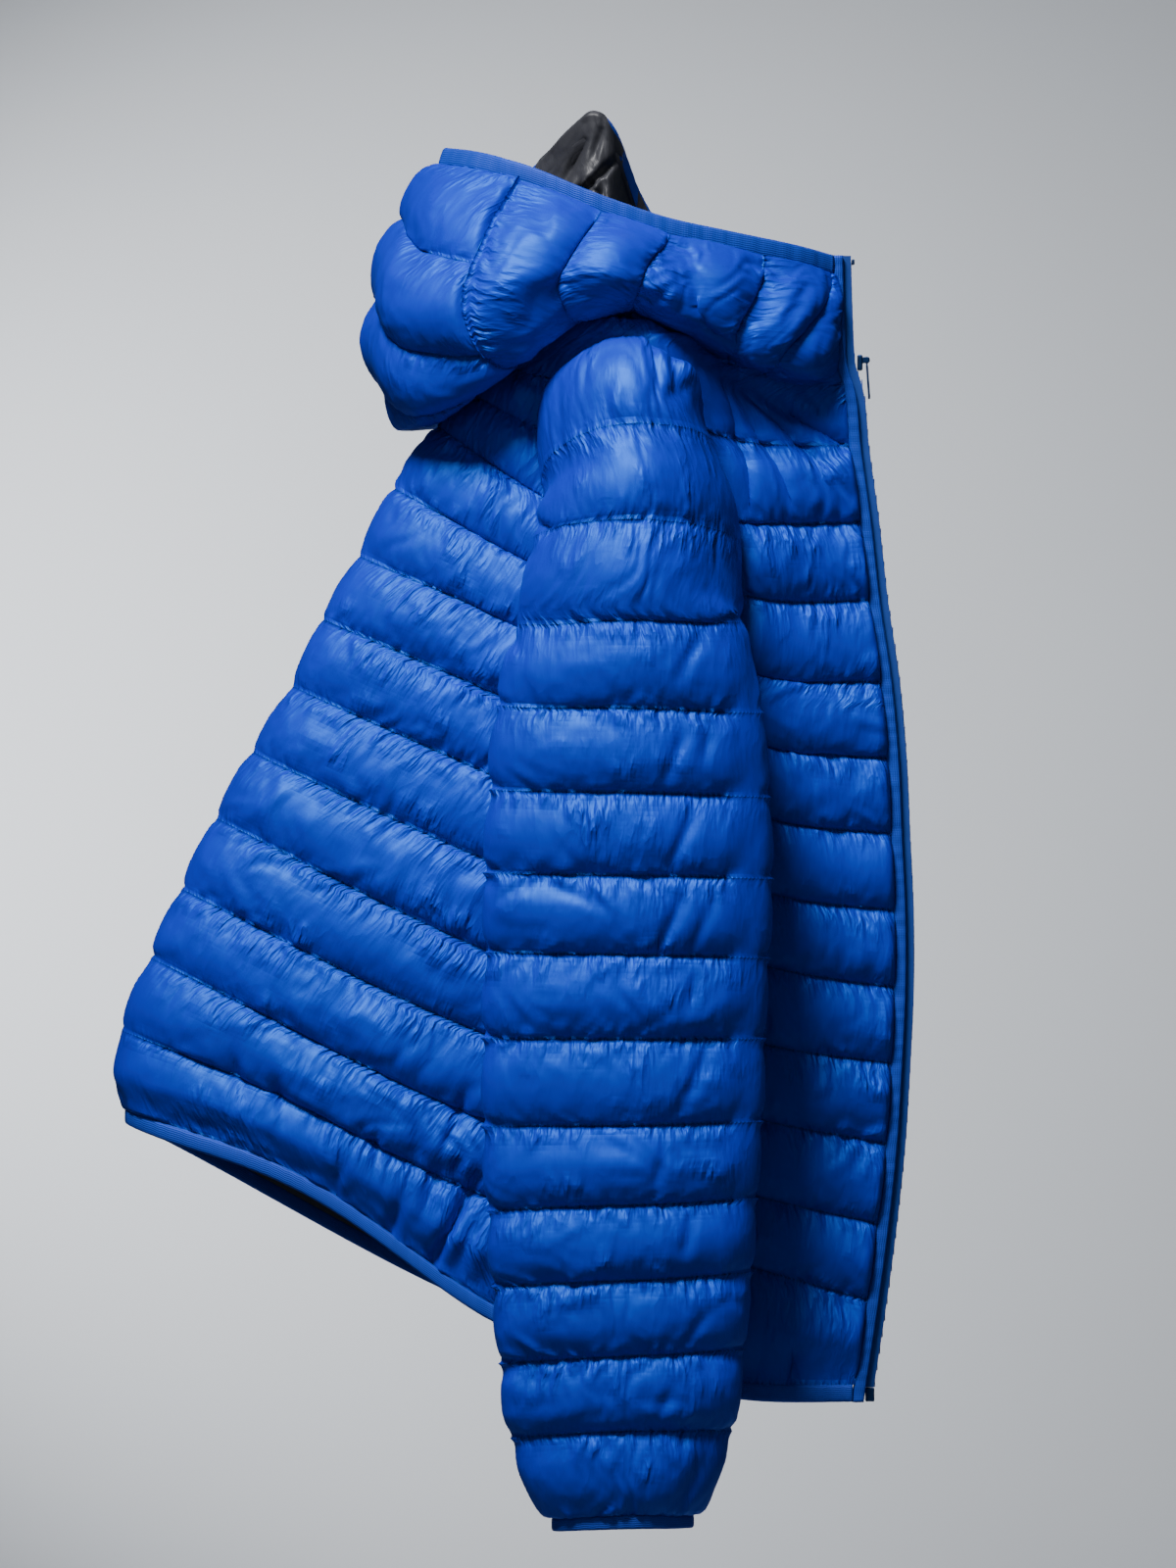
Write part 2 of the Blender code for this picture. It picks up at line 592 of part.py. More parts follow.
def make_sleeves():
    inner = sleeve_surface()
    closed = SLEEVE_CLOSED_SEAM * ROWS_PER_CHANNEL
    out = grid_normals(inner, closed)
    thick = np.array([channel(k / ROWS_PER_CHANNEL) for k in range(len(inner))])[:, None].repeat(
        inner.shape[1], axis=1
    )
    thick[: closed + 1, :2] = thick[: closed + 1, -2:] = STITCHED_WALL
    outer = inner + out * thick[..., None]
    inner, outer = part_edges(inner, outer, left=0.0, right=0.0, top=0.0)
    for side, mirror in (("right", np.asarray), ("left", mirrored)):
        stretches = [(f"sleeve_{side}_{name}", first, last) for name, first, last in SLEEVE_STRETCHES]
        cut_wall(stretches, mirror(inner), mirror(outer))
    cuff_in, cuff_out = binding_strip(inner[-1], outer[-1], [0.0, 0.0, -1.0], CUFF_BINDING)
    wall("cuff_right", cuff_in, cuff_out, BINDING, BINDING_ROUGHNESS)
    wall("cuff_left", mirrored(cuff_in), mirrored(cuff_out), BINDING, BINDING_ROUGHNESS)


# --- bindings --------------------------------------------------------------------------------------------------
def binding_strip(edge_in, edge_out, direction, width):
    """A bound edge: a strip that goes on from a wall's edge, a seam gap clear of it, in a rounded section."""
    direction = np.asarray(direction, float) * np.ones_like(edge_in)
    out = unit(edge_out - edge_in)
    inner, outer = [], []
    for share, thick in ((0.0, BINDING_WALL), (0.5, BINDING_CROWN), (1.0, BINDING_WALL)):
        line = edge_in + direction * (SEAM_GAP + share * width)
        inner.append(line)
        outer.append(line + out * thick)
    return np.array(inner), np.array(outer)


def make_hem_binding():
    row = float(HEM_ROW)
    near = [beside_placket(BODY[-1, 8] - HEM_BINDING)] + list(
        np.linspace(panel_edge_x(row), side_x(row), FRONT_COLUMNS + 1)[1:-1]
    )
    behind = [fold_x(row) + p * (side_x(row) - fold_x(row)) for p in back_columns(row)][::-1]
    inner, outer = [], []
    for is_near, order in ((True, near + behind), (False, (near + behind[:-1])[::-1])):
        for x in order:
            point = body_point(row, x, is_near)
            out = body_normal(row, x, is_near)
            tip = point + out
            if not is_near:
                point, tip = mirrored(point), mirrored(tip)
            inner.append(point)
            outer.append(tip)
    strip_in, strip_out = binding_strip(np.array(inner), np.array(outer), [0.0, 0.0, -1.0], HEM_BINDING)
    wall("hem_binding", strip_in, strip_out, BINDING, BINDING_ROUGHNESS)


# --- hood ------------------------------------------------------------------------------------------------------
RIB_COUNT = 2 * (BACK_COLUMNS + FRONT_COLUMNS)


def neck_points():
    """The neck seam from the fold to the front edge: one point for each rib, and its outward direction."""
    xs = [fold_x(0) + p * (side_x(0) - fold_x(0)) for p in back_columns(0)]
    xs += list(np.linspace(side_x(0), panel_edge_x(0), FRONT_COLUMNS + 1))[1:]
    points = np.array([body_point(0, x) for x in xs])
    outs = np.array([body_normal(0, x) for x in xs])
    outs[0] = (-1.0, 0.0, 0.0)
    at = np.linspace(0, len(xs) - 1, RIB_COUNT + 1)
    whole = np.arange(len(xs))
    every = np.array([np.interp(at, whole, points[:, k]) for k in range(3)]).T
    towards = np.array([np.interp(at, whole, outs[:, k]) for k in range(3)]).T
    return every, unit(towards)


def hood_surface(near=True):
    """Inner points of half the hood, by rows from the rim to the neck and by ribs from the centre."""
    places = np.array([r[0] for r in HOOD_RIBS], float)
    controls = np.array([r[1:] for r in HOOD_RIBS], float)
    controls[-1, :, 0] = [beside_placket(z) for z in controls[-1, :, 2]]
    neck, level = neck_points()
    peak = np.array(PEAK_LIFT, float)
    grid = np.zeros((HOOD_STEPS + 1, RIB_COUNT + 1, 3))
    for k in range(RIB_COUNT + 1):
        place_round = k / RIB_COUNT
        knots = [[float(smooth(places, controls[:, p, a], place_round)) for a in range(3)] for p in range(4)]
        foot = neck[k] + (0.0, 0.0, SEAM_GAP)
        turned = 1.0 - float(ease((place_round - STAND_STARTS) / (STAND_ENDS - STAND_STARTS)))
        stand = foot + level[k] * STAND_OUT * turned + np.array([0.0, 0.0, STAND_UP * turned])
        knots = np.array(knots + [stand] * (turned > 0.1) + [foot])
        if not near:
            lift = float(np.interp(knots[0, 0], peak[:, 0], peak[:, 1]))
            drawn = lift / peak[:, 1].max()
            for p, share in enumerate(PEAK_SHARES):
                knots[p, 2] += lift * share
                knots[p, 1] += (-PEAK_SIDE - knots[p, 1]) * drawn * share
        gaps = np.linalg.norm(np.diff(knots, axis=0), axis=1)
        at = np.concatenate([[0.0], np.cumsum(gaps)])
        for step in range(HOOD_STEPS + 1):
            along = at[-1] * step / HOOD_STEPS
            grid[step, k] = [float(smooth(at, knots[:, a], along)) for a in range(3)]
    grid[:, -1, 0] = [beside_placket(z) for z in grid[:, -1, 2]]
    return grid if near else mirrored(grid)


def fold_depth(rib, down):
    """How deep the folds draw the hood in at a place, from the table of folds."""
    deepest = 0.0
    for rib_a, down_a, rib_b, down_b, width, depth in HOOD_FOLDS:
        start = np.array([rib_a, down_a * HOOD_STEPS])
        line = np.array([rib_b, down_b * HOOD_STEPS]) - start
        away = np.array([rib, down * HOOD_STEPS]) - start
        along = np.clip(away @ line / (line @ line), 0.0, 1.0)
        gap = np.linalg.norm(away - along * line) / width
        deepest = max(deepest, depth * math.exp(-(gap**2)) * math.sin(math.pi * (0.15 + 0.7 * along)))
    return deepest


def line_share(value, lines):
    """0 on a stitch line, 1 in the middle of a channel."""
    for a, b in zip(lines[:-1], lines[1:]):
        if a <= value <= b:
            t = (value - a) / (b - a)
            return math.sin(math.pi * t) ** 0.6
    return 0.0


def hood_walls(near):
    """Inner and outer points of half the hood."""
    inner = hood_surface(near)
    along = np.gradient(inner, axis=0)
    across = np.gradient(inner, axis=1)
    across[:, 0] = (0.0, -1.0 if near else 1.0, 0.0)
    out = unit(np.cross(along, across)) * (1.0 if near else -1.0)
    _, level = neck_points()
    out[-1] = level if near else mirrored(level)
    out[:, -1] = STRAIGHT_OUT if near else -STRAIGHT_OUT
    thick = np.full(inner.shape[:2], STITCHED_WALL)
    for step in range(1, HOOD_STEPS):
        for k in range(RIB_COUNT + 1):
            down = step / HOOD_STEPS
            if k < CENTRE_SEAM_RIB:
                share = line_share(down, HOOD_CENTRE_LINES) * min(1.0, (CENTRE_SEAM_RIB - k) / 1.5)
            else:
                share = line_share(k, HOOD_SIDE_LINES) * math.sin(math.pi * down) ** 0.4
            if step >= HOOD_STEPS - STAND_STEPS:
                share *= STAND_PADDING
            elif k < RIB_COUNT:
                inner[step, k] -= out[step, k] * fold_depth(k, down)
            thick[step, k] += (HOOD_PADDED_WALL - STITCHED_WALL) * share
    return inner, inner + out * thick[..., None]


def make_hood():
    near_in, near_out = hood_walls(True)
    far_in, far_out = hood_walls(False)
    seam = CENTRE_SEAM_RIB
    for name, inner, outer in (("hood_side_right", near_in, near_out), ("hood_side_left", far_in, far_out)):
        side_in, side_out = part_edges(inner[:, seam:].copy(), outer[:, seam:].copy(), right=0.0, low=0.0)
        wall(name, side_in, side_out)
    centre_in = np.concatenate([near_in[:, seam::-1], far_in[:, 1 : seam + 1]], axis=1)
    centre_out = np.concatenate([near_out[:, seam::-1], far_out[:, 1 : seam + 1]], axis=1)
    centre_in, centre_out = part_edges(centre_in, centre_out, low=0.0)
    wall("hood_centre", centre_in, centre_out)
    rim_in = np.concatenate([near_in[0, ::-1], far_in[0, 1:]])
    rim_out = np.concatenate([near_out[0, ::-1], far_out[0, 1:]])
    rim_in, rim_out = binding_strip(rim_in, rim_out, [0.0, 0.0, 1.0], HOOD_BINDING)
    wall("hood_binding", rim_in, rim_out, BINDING, BINDING_ROUGHNESS)


# --- zip -------------------------------------------------------------------------------------------------------
RIM_Z = HOOD_RIBS[-1][1][2] + HOOD_BINDING
HEM_Z = BODY[-1, 8] - HEM_BINDING
STATION_GAP = 4.0


def edge_strip(top_z, low_z, corners):
    """Points of a strip along the front edge. Its corners are (across, side) of the inner and outer lines."""
    stations = [r[0] for r in COLLAR_EDGE] + [float(guide(row, 8)) for row in (0, 1 / 3, 2 / 3)]
    stations += list(BODY[1:, 8])
    zs = [top_z] + [z for z in stations if low_z + STATION_GAP < z < top_z - STATION_GAP] + [low_z]
    inner, outer = [], []
    for (in_across, in_side), (out_across, out_side) in corners:
        inner.append([[edge_curve(z) + in_across, in_side, z] for z in zs])
        outer.append([[edge_curve(z) + out_across, out_side, z] for z in zs])
    return np.array(inner), np.array(outer)


def make_plackets():
    """The bound front edges, one on each side of the zip."""
    section = [
        ((-PLACKET_WIDTH, -PLACKET_IN), (-PLACKET_WIDTH, -PLACKET_OUT + PLACKET_ROUNDING)),
        ((-PLACKET_WIDTH / 2, -PLACKET_IN), (-PLACKET_WIDTH / 2, -PLACKET_OUT)),
        ((0.0, -PLACKET_IN), (0.0, -PLACKET_OUT + PLACKET_ROUNDING)),
    ]
    inner, outer = edge_strip(RIM_Z, HEM_Z, section)
    wall("placket_right", inner, outer, BINDING, BINDING_ROUGHNESS)
    wall("placket_left", mirrored(inner), mirrored(outer), BINDING, BINDING_ROUGHNESS)


def make_tapes():
    """The zip's tapes run from inside each placket out to the teeth."""
    under = PLACKET_IN - SEAM_GAP
    beside_teeth = TEETH_HALF_WIDTH + SEAM_GAP
    section = [
        ((TAPE_ROOT, TAPE_THICK - under), (TAPE_ROOT, -under)),
        ((TAPE_BEND, -beside_teeth - TAPE_THICK - SEAM_GAP), (TAPE_BEND, -under)),
        ((TAPE_TIP, -beside_teeth), (TAPE_TIP, -beside_teeth - TAPE_THICK)),
    ]
    inner, outer = edge_strip(RIM_Z, HEM_Z + BOX_SIZE[2] + SEAM_GAP, section)
    wall("zip_tape_right", inner, outer, TAPE, TAPE_ROUGHNESS)
    wall("zip_tape_left", mirrored(inner), mirrored(outer), TAPE, TAPE_ROUGHNESS)


def make_teeth():
    """The teeth: one closed row below the slider, and two parted rows above it."""
    near, far = TEETH_ACROSS
    slider_low = SLIDER_Z - SLIDER_SIZE[2] / 2
    half = TEETH_HALF_WIDTH
    closed = [((near, half), (near, -half)), ((far, half), (far, -half))]
    parted = [((near, -TEETH_PARTED), (near, -half)), ((far, -TEETH_PARTED), (far, -half))]
    wall("zip_teeth", *edge_strip(slider_low - SEAM_GAP, HEM_Z + BOX_SIZE[2] + SEAM_GAP, closed), TAPE, TAPE_ROUGHNESS)
    inner, outer = edge_strip(RIM_Z - STOP_DROP, slider_low, parted)
    wall("zip_teeth_right", inner, outer, TAPE, TAPE_ROUGHNESS)
    wall("zip_teeth_left", mirrored(inner), mirrored(outer), TAPE, TAPE_ROUGHNESS)


def block_mesh(centre, size, bevel=0.0, turn=0.0, about=(0.0, 0.0, 0.0)):
    """A box with rounded edges, in millimetres, turned about a point on a line along Y."""
    bm = bmesh.new()
    bmesh.ops.create_cube(bm, size=1.0)
    bmesh.ops.scale(bm, vec=Vector(size), verts=bm.verts[:])
    if bevel:
        bmesh.ops.bevel(
            bm, geom=bm.edges[:], offset=bevel, segments=2, profile=0.5, affect="EDGES", material=-1
        )
    bmesh.ops.translate(bm, vec=Vector(centre), verts=bm.verts[:])
    bmesh.ops.rotate(bm, cent=Vector(about), matrix=Matrix.Rotation(turn, 3, "Y"), verts=bm.verts[:])
    return bm


def pin_mesh(centre, radius, length):
    """A round bar along Y, in millimetres."""
    bm = bmesh.new()
    bmesh.ops.create_cone(
        bm, cap_ends=True, segments=16, radius1=radius, radius2=radius, depth=length,
        matrix=Matrix.Translation(centre) @ Matrix.Rotation(math.pi / 2, 4, "X"),
    )
    return bm


def shaped(name, base, tools):
    """A metal piece: a base mesh with other meshes joined to it or cut from it."""
    for bm in (base, *[tool for _, tool in tools]):
        bmesh.ops.scale(bm, vec=(MM, MM, MM), verts=bm.verts[:])
    obj = place(name, base, METAL, METAL_ROUGHNESS, METALLIC)
    obj.data.set_sharp_from_angle(angle=SHARP_ANGLE)
    for k, (operation, tool) in enumerate(tools):
        mesh = bpy.data.meshes.new(f"{name}_tool_{k}")
        tool.to_mesh(mesh)
        tool.free()
        cutter = bpy.data.objects.new(f"{name}_tool_{k}", mesh)
        cutter.hide_render = True
        cutter.display_type = "WIRE"
        bpy.data.collections["tools"].objects.link(cutter)
        join = obj.modifiers.new(operation.lower(), "BOOLEAN")
        join.operation = operation
        join.object = cutter


def make_hardware():
    """Slider with its lugs and pin, pull tab, box and top stops."""
    edge = edge_curve(SLIDER_Z)
    body_x = edge + SLIDER_ACROSS + SLIDER_SIZE[0] / 2
    pin = Vector((edge + PIN_ACROSS, 0.0, SLIDER_Z + PIN_UP))
    lug_x = pin.x + LUG_TIP - LUG_SIZE[0] / 2
    lugs = [("UNION", block_mesh((lug_x, side * LUG_SIDE, pin.z), LUG_SIZE, 0.3)) for side in (-1, 1)]
    bar = ("UNION", pin_mesh(pin, PIN_RADIUS, 2 * LUG_SIDE))
    shaped("zip_slider", block_mesh((body_x, 0.0, SLIDER_Z), SLIDER_SIZE, 0.7), lugs + [bar])
    tab_centre = pin - Vector((0.0, 0.0, TAB_DROP + TAB_SIZE[2] / 2))
    neck_centre = pin - Vector((0.0, 0.0, TAB_NECK_DROP))
    tab = block_mesh(tab_centre, TAB_SIZE, 0.3, -TAB_LEAN, pin)
    neck = block_mesh(neck_centre, TAB_NECK_SIZE, 0.0, -TAB_LEAN, pin)
    hole = pin_mesh(pin, EYE_HOLE, EYE_WIDTH + HOLE_OVERRUN)
    eye = pin_mesh(pin, EYE_RADIUS, EYE_WIDTH)
    shaped("zip_pull", eye, [("UNION", neck), ("UNION", tab), ("DIFFERENCE", hole)])
    box_z = HEM_Z + BOX_SIZE[2] / 2
    box_x = edge_curve(box_z) + BOX_ACROSS
    shaped("zip_box", block_mesh((box_x, 0.0, box_z), BOX_SIZE, 0.6), [])
    stop_z = RIM_Z - STOP_DROP
    for side, name in ((-1, "zip_stop_right"), (1, "zip_stop_left")):
        centre = (edge_curve(stop_z) + STOP_ACROSS, side * STOP_SIDE, stop_z)
        shaped(name, block_mesh(centre, STOP_SIZE, 0.4), [])


def main():
    for obj in list(bpy.data.objects):
        bpy.data.objects.remove(obj)
    for name in ("jacket", "tools"):
        bpy.context.scene.collection.children.link(bpy.data.collections.new(name))
    make_back()
    make_fronts()
    make_sleeves()
    make_hem_binding()
    make_hood()
    make_plackets()
    make_tapes()
    make_teeth()
    make_hardware()


main()
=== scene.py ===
"""Hooded down jacket, hanging closed from the rim of its hood: its cloth, down, bindings, lining and zip.

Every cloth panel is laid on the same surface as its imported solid. Its shell is sewn down along the quilting and
blown off the lining by the down in it, and its lining is drawn in the same way. Tables and surfaces are in
millimetres, meshes in metres.
"""

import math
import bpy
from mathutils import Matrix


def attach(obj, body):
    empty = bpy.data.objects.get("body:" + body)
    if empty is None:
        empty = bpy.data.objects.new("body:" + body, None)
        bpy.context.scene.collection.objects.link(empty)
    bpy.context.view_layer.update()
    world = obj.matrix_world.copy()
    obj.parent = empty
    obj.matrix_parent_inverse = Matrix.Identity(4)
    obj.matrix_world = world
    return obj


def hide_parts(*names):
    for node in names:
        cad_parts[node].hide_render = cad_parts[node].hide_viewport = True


bl_info = {
    "name": "Hooded Down Jacket",
    "version": (1, 0, 0),
    "blender": (4, 5, 0),
    "location": "3D View > Sidebar > Jacket",
    "description": "Quilts the shell, lining, bindings and zip of a hooded down jacket over its packed frame",
    "category": "Add Mesh",
}

import bmesh
import bpy
import numpy as np
from bpy.props import FloatProperty, FloatVectorProperty, IntProperty, PointerProperty
from mathutils import Matrix, Vector

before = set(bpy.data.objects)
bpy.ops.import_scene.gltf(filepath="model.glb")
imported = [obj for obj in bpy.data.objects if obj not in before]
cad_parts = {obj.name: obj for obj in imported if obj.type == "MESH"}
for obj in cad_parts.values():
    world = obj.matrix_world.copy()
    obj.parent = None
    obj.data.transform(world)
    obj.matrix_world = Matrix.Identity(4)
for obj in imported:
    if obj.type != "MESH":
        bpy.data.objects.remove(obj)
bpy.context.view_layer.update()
BODY_NAME = "garment"
MM = 0.001

# --- body: one row for each quilting seam, 0 = neck seam, 13 = hem seam ---------------------------------------
BODY_ROWS = [
    # row, fold_x, fold_z, back_x, back_z, front_x, front_z, edge_x, edge_z, depth
    (0.0, -60, -133, -16, -131, 84, -150, 158, -161, 28),
    (1.0, -60, -147, -24, -158, 71, -192, 162, -196, 35),
    (2.0, -66, -166, -30, -187, 84, -239, 168, -240, 39),
    (3.0, -83, -189, -36, -221, 97, -285, 173, -285, 42),
    (4.0, -108, -224, -41, -261, 103, -330, 180, -333, 44),
    (5.0, -128, -263, -41, -301, 108, -371, 184, -378, 46),
    (6.0, -148, -300, -55, -340, 110, -414, 186, -422, 48),
    (7.0, -166, -339, -59, -386, 114, -458, 188, -467, 49),
    (8.0, -190, -377, -62, -435, 112, -500, 188, -512, 50),
    (9.0, -211, -415, -62, -487, 110, -545, 186, -556, 50),
    (10.0, -231, -456, -66, -534, 104, -588, 183, -603, 50),
    (11.0, -248, -496, -66, -583, 100, -632, 178, -650, 50),
    (12.0, -264, -537, -67, -627, 95, -673, 172, -695, 49),
    (13.0, -267, -580, -52, -694, 88, -739, 165, -741, 46),
]
BODY = np.array(BODY_ROWS)
HEM_ROW = 13
SIDE_SEAM_TOP_X, SIDE_SEAM_HEM_X = 27.0, 21.0
ARMHOLE_TOP_ROW, ARMHOLE_LOW_ROW = 1 / 3, 13 / 3
ARMHOLE_BACK_REACH, ARMHOLE_FRONT_REACH = 48.0, 50.0
ARMHOLE_FULLNESS = 0.55
ARMHOLE_BACK_WIDEST, ARMHOLE_FRONT_WIDEST = 0.45, 0.6
ARMHOLE_FADE = 26.0
NECK_SHOULDER_X = 55.0
SHOULDER_LIFT, SHOULDER_OUT = 15.0, 30.0
SHOULDER_WIDTH, SHOULDER_HEIGHT, SHOULDER_ROW_DROP = 42.0, 34.0, 45.0
DEEPEST = 0.42
EDGE_DEPTH = 5.0
NEAR_HEM_ARCH, HEM_ARCH_ROWS = 19.0, 2.5

# --- front edge ------------------------------------------------------------------------------------------------
EDGE_INSET, PANEL_INSET = 5.0, 0.6
PLACKET_WIDTH, PLACKET_IN, PLACKET_OUT = 6.0, 4.7, 8.8
COLLAR_EDGE = [
    # z, x of the edge binding's outer edge, above the neck seam
    (-85, 146.5), (-107, 147.0), (-128, 147.8), (-148, 149.0),
]

# --- sleeve: one row for each quilting seam, from the shoulder to the cuff --------------------------------------
SLEEVE_ROWS = [
    # seam, z_back, z_mid, z_front, x_back, x_front, y_out, y_in
    (1, -219, -187, -200, -22, 65, -100, 0),
    (2, -262, -242, -258, -33, 82, -113, 0),
    (3, -303, -299, -303, -42, 88, -118, -48),
    (4, -349, -349, -353, -54, 99, -118, -66),
    (5, -396, -397, -400, -59, 103, -118, -71),
    (6, -443, -444, -446, -62, 104, -118, -73),
    (7, -488, -489, -491, -62, 103, -117, -74),
    (8, -537, -537, -537, -63, 101, -116, -74),
    (9, -587, -586, -584, -63, 99, -115, -74),
    (10, -635, -631, -628, -61, 96, -113, -73),
    (11, -678, -674, -670, -58, 93, -111, -72),
    (12, -722, -717, -714, -53, 88, -108, -70),
    (13, -764, -760, -760, -47, 82, -104, -66),
    (14, -810, -808, -808, -28, 64, -96, -62),
]
SLEEVE = np.array(SLEEVE_ROWS, float)
SLEEVE_CLOSED_SEAM = 3
SLEEVE_RIDGE_X = 25.0
SLEEVE_ROUNDNESS = 1.8
SLEEVE_COLUMNS = 14
HEAD_DROP = 22.0
SLEEVE_SEAT, SLEEVE_CLEAR = 0.6, 1.0
SOLID_ROWS = 3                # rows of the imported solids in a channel
SEWN_WALL, PADDED_WALL = 3.5, 9.0
HALVINGS = 24

# --- hood ------------------------------------------------------------------------------------------------------
HOOD_RIBS = [
    # place, rim, upper side, lower side, bottom
    (0.0, (-86, 0, -33), (-114, 0, -80), (-125, 0, -132), (-108, 0, -180)),
    (0.14, (-64, -28, -38), (-96, -40, -82), (-108, -50, -132), (-90, -44, -174)),
    (0.23, (-40, -42, -45), (-60, -66, -86), (-70, -76, -124), (-56, -68, -148)),
    (0.36, (0, -50, -62), (-8, -78, -82), (-10, -84, -98), (0, -76, -108)),
    (0.5, (38, -46, -75), (36, -68, -94), (40, -70, -108), (47, -60, -117)),
    (0.66, (76, -36, -83), (77, -52, -106), (78, -54, -127), (81, -46, -138)),
    (0.82, (114, -22, -90), (117, -32, -116), (117, -34, -138), (116, -30, -150)),
    (1.0, (143, -5, -96), (145, -5, -118), (147, -5, -138), (147, -5, -150)),
]
HOOD_RIB_COUNT, CENTRE_SEAM_RIB, BACK_NECK_RIBS = 22, 5, 12
STAND_UP, STAND_OUT, STAND_STARTS, STAND_ENDS = 9.0, 6.0, 0.45, 0.8
HOOD_STEPS = 12
PEAK_LIFT = [
    # x, lift of the far rim to the point that holds the jacket
    (-36, 0), (-25, 19), (-13, 35), (0, 51), (8, 48), (16, 45), (21, 33), (27, 15), (40, 0),
]
PEAK_SIDE = 4.0
PEAK_SHARES = (1.0, 0.42, 0.12)
SEAM_GAP = 0.4
HOOD_BINDING, HEM_BINDING, CUFF_BINDING = 11.0, 10.0, 8.5


def smooth(xs, ys, x):
    """Cubic curve through a table, read at x."""
    xs, ys = np.asarray(xs, float), np.asarray(ys, float)
    slope = np.gradient(ys, xs)
    x = np.clip(x, xs[0], xs[-1])
    i = np.clip(np.searchsorted(xs, x, side="right") - 1, 0, len(xs) - 2)
    span = xs[i + 1] - xs[i]
    t = (x - xs[i]) / span
    rise = (2 * t**3 - 3 * t**2 + 1) * ys[i] + (3 * t**2 - 2 * t**3) * ys[i + 1]
    bend = (t**3 - 2 * t**2 + t) * slope[i] + (t**3 - t**2) * slope[i + 1]
    return rise + bend * span


def unit(v):
    v = np.asarray(v, float)
    return v / np.maximum(np.linalg.norm(v, axis=-1, keepdims=True), 1e-9)


def mirrored(points):
    """The same points on the far side of the middle plane."""
    return np.asarray(points) * np.array([1.0, -1.0, 1.0])


def ease(t):
    """A share from 0 to 1 that starts and ends gently."""
    t = np.clip(t, 0.0, 1.0)
    return t * t * (3 - 2 * t)


def within(place, start, end, fade):
    """1 between two places, falling off to 0 at each over a distance inside them."""
    return ease((place - start) / fade) * ease((end - place) / fade)


def distances(points):
    """How far along a line of points each of them lies."""
    return np.concatenate([[0.0], np.cumsum(np.linalg.norm(np.diff(points, axis=0), axis=1))])


def read_at(wanted, at, values):
    """Points or directions that are given at some places along a line, read at others."""
    return np.stack([np.interp(wanted, at, values[:, k]) for k in range(3)], axis=-1)


# --- surfaces ---------------------------------------------------------------------------------------------------
def guide(row, column):
    return smooth(BODY[:, 0], BODY[:, column], row)


def side_x(row):
    """The line of the shoulder seam, the armhole's middle and the side seam."""
    if row < ARMHOLE_TOP_ROW:
        return np.interp(row, [0, ARMHOLE_TOP_ROW], [NECK_SHOULDER_X, SIDE_SEAM_TOP_X])
    return np.interp(row, [ARMHOLE_LOW_ROW, HEM_ROW], [SIDE_SEAM_TOP_X, SIDE_SEAM_HEM_X])


def armhole_share(row, widest):
    down = np.clip((row - ARMHOLE_TOP_ROW) / (ARMHOLE_LOW_ROW - ARMHOLE_TOP_ROW), 0.0, 1.0)
    down = down ** (math.log(0.5) / math.log(widest))
    return (4.0 * down * (1.0 - down)) ** ARMHOLE_FULLNESS


def fold_x(row):
    return float(guide(row, 1))


def back_edge_x(row):
    return side_x(row) - ARMHOLE_BACK_REACH * armhole_share(row, ARMHOLE_BACK_WIDEST)


def front_edge_x(row):
    return side_x(row) + ARMHOLE_FRONT_REACH * armhole_share(row, ARMHOLE_FRONT_WIDEST)


def edge_curve(z):
    """x of the outer edge of the edge binding at a height, from the hem to the hood rim."""
    zs = [r[0] for r in COLLAR_EDGE] + list(BODY[:, 8]) + [BODY[-1, 8] - HEM_BINDING]
    xs = [r[1] for r in COLLAR_EDGE] + list(BODY[:, 7] - EDGE_INSET) + [BODY[-1, 7] - EDGE_INSET - 1.5]
    return smooth(-np.array(zs), xs, -np.asarray(z, float))


def beside_placket(z):
    return edge_curve(z) - PLACKET_WIDTH - PANEL_INSET


def panel_edge_x(row):
    return float(beside_placket(guide(row, 8)))


def body_line(row, x, near=True):
    """Inside of the near half along a row, at each x. The far half's hem hangs straight, and comes back here
    mirrored to the near side."""
    x = np.asarray(x, float)
    xs = [guide(row, k) for k in (1, 3, 5, 7)]
    zs = [guide(row, k) for k in (2, 4, 6, 8)]
    z = smooth(xs, zs, x)
    share = (x - xs[0]) / (xs[3] - xs[0])
    depth = float(guide(row, 9))
    behind = depth * np.sqrt(np.clip(1.0 - (1.0 - share / DEEPEST) ** 2, 0.0, 1.0))
    fall = np.clip((share - DEEPEST) / (1.0 - DEEPEST), 0.0, 1.0)
    before = EDGE_DEPTH + (depth - EDGE_DEPTH) * (0.5 + 0.5 * np.cos(np.pi * fall))
    y = np.where(share < DEEPEST, behind, before)
    if row > 0:
        drop = SHOULDER_ROW_DROP * (row - ARMHOLE_TOP_ROW)
        tip = np.exp(-(((x - SIDE_SEAM_TOP_X) / SHOULDER_WIDTH) ** 2) - (drop / SHOULDER_HEIGHT) ** 2)
        z = z + SHOULDER_LIFT * tip
        y = y + SHOULDER_OUT * tip
    if near and row > HEM_ROW - HEM_ARCH_ROWS:
        span = np.clip((x - xs[0]) / (xs[1] - xs[0]), 0.0, 1.0)
        grip = (row - HEM_ROW + HEM_ARCH_ROWS) / HEM_ARCH_ROWS
        z = z + NEAR_HEM_ARCH * grip**2 * np.sin(np.pi * span) ** 1.5
    return np.stack([x, -y, z], axis=-1)


def body_point(row, x, near=True):
    return body_line(row, [x], near)[0]


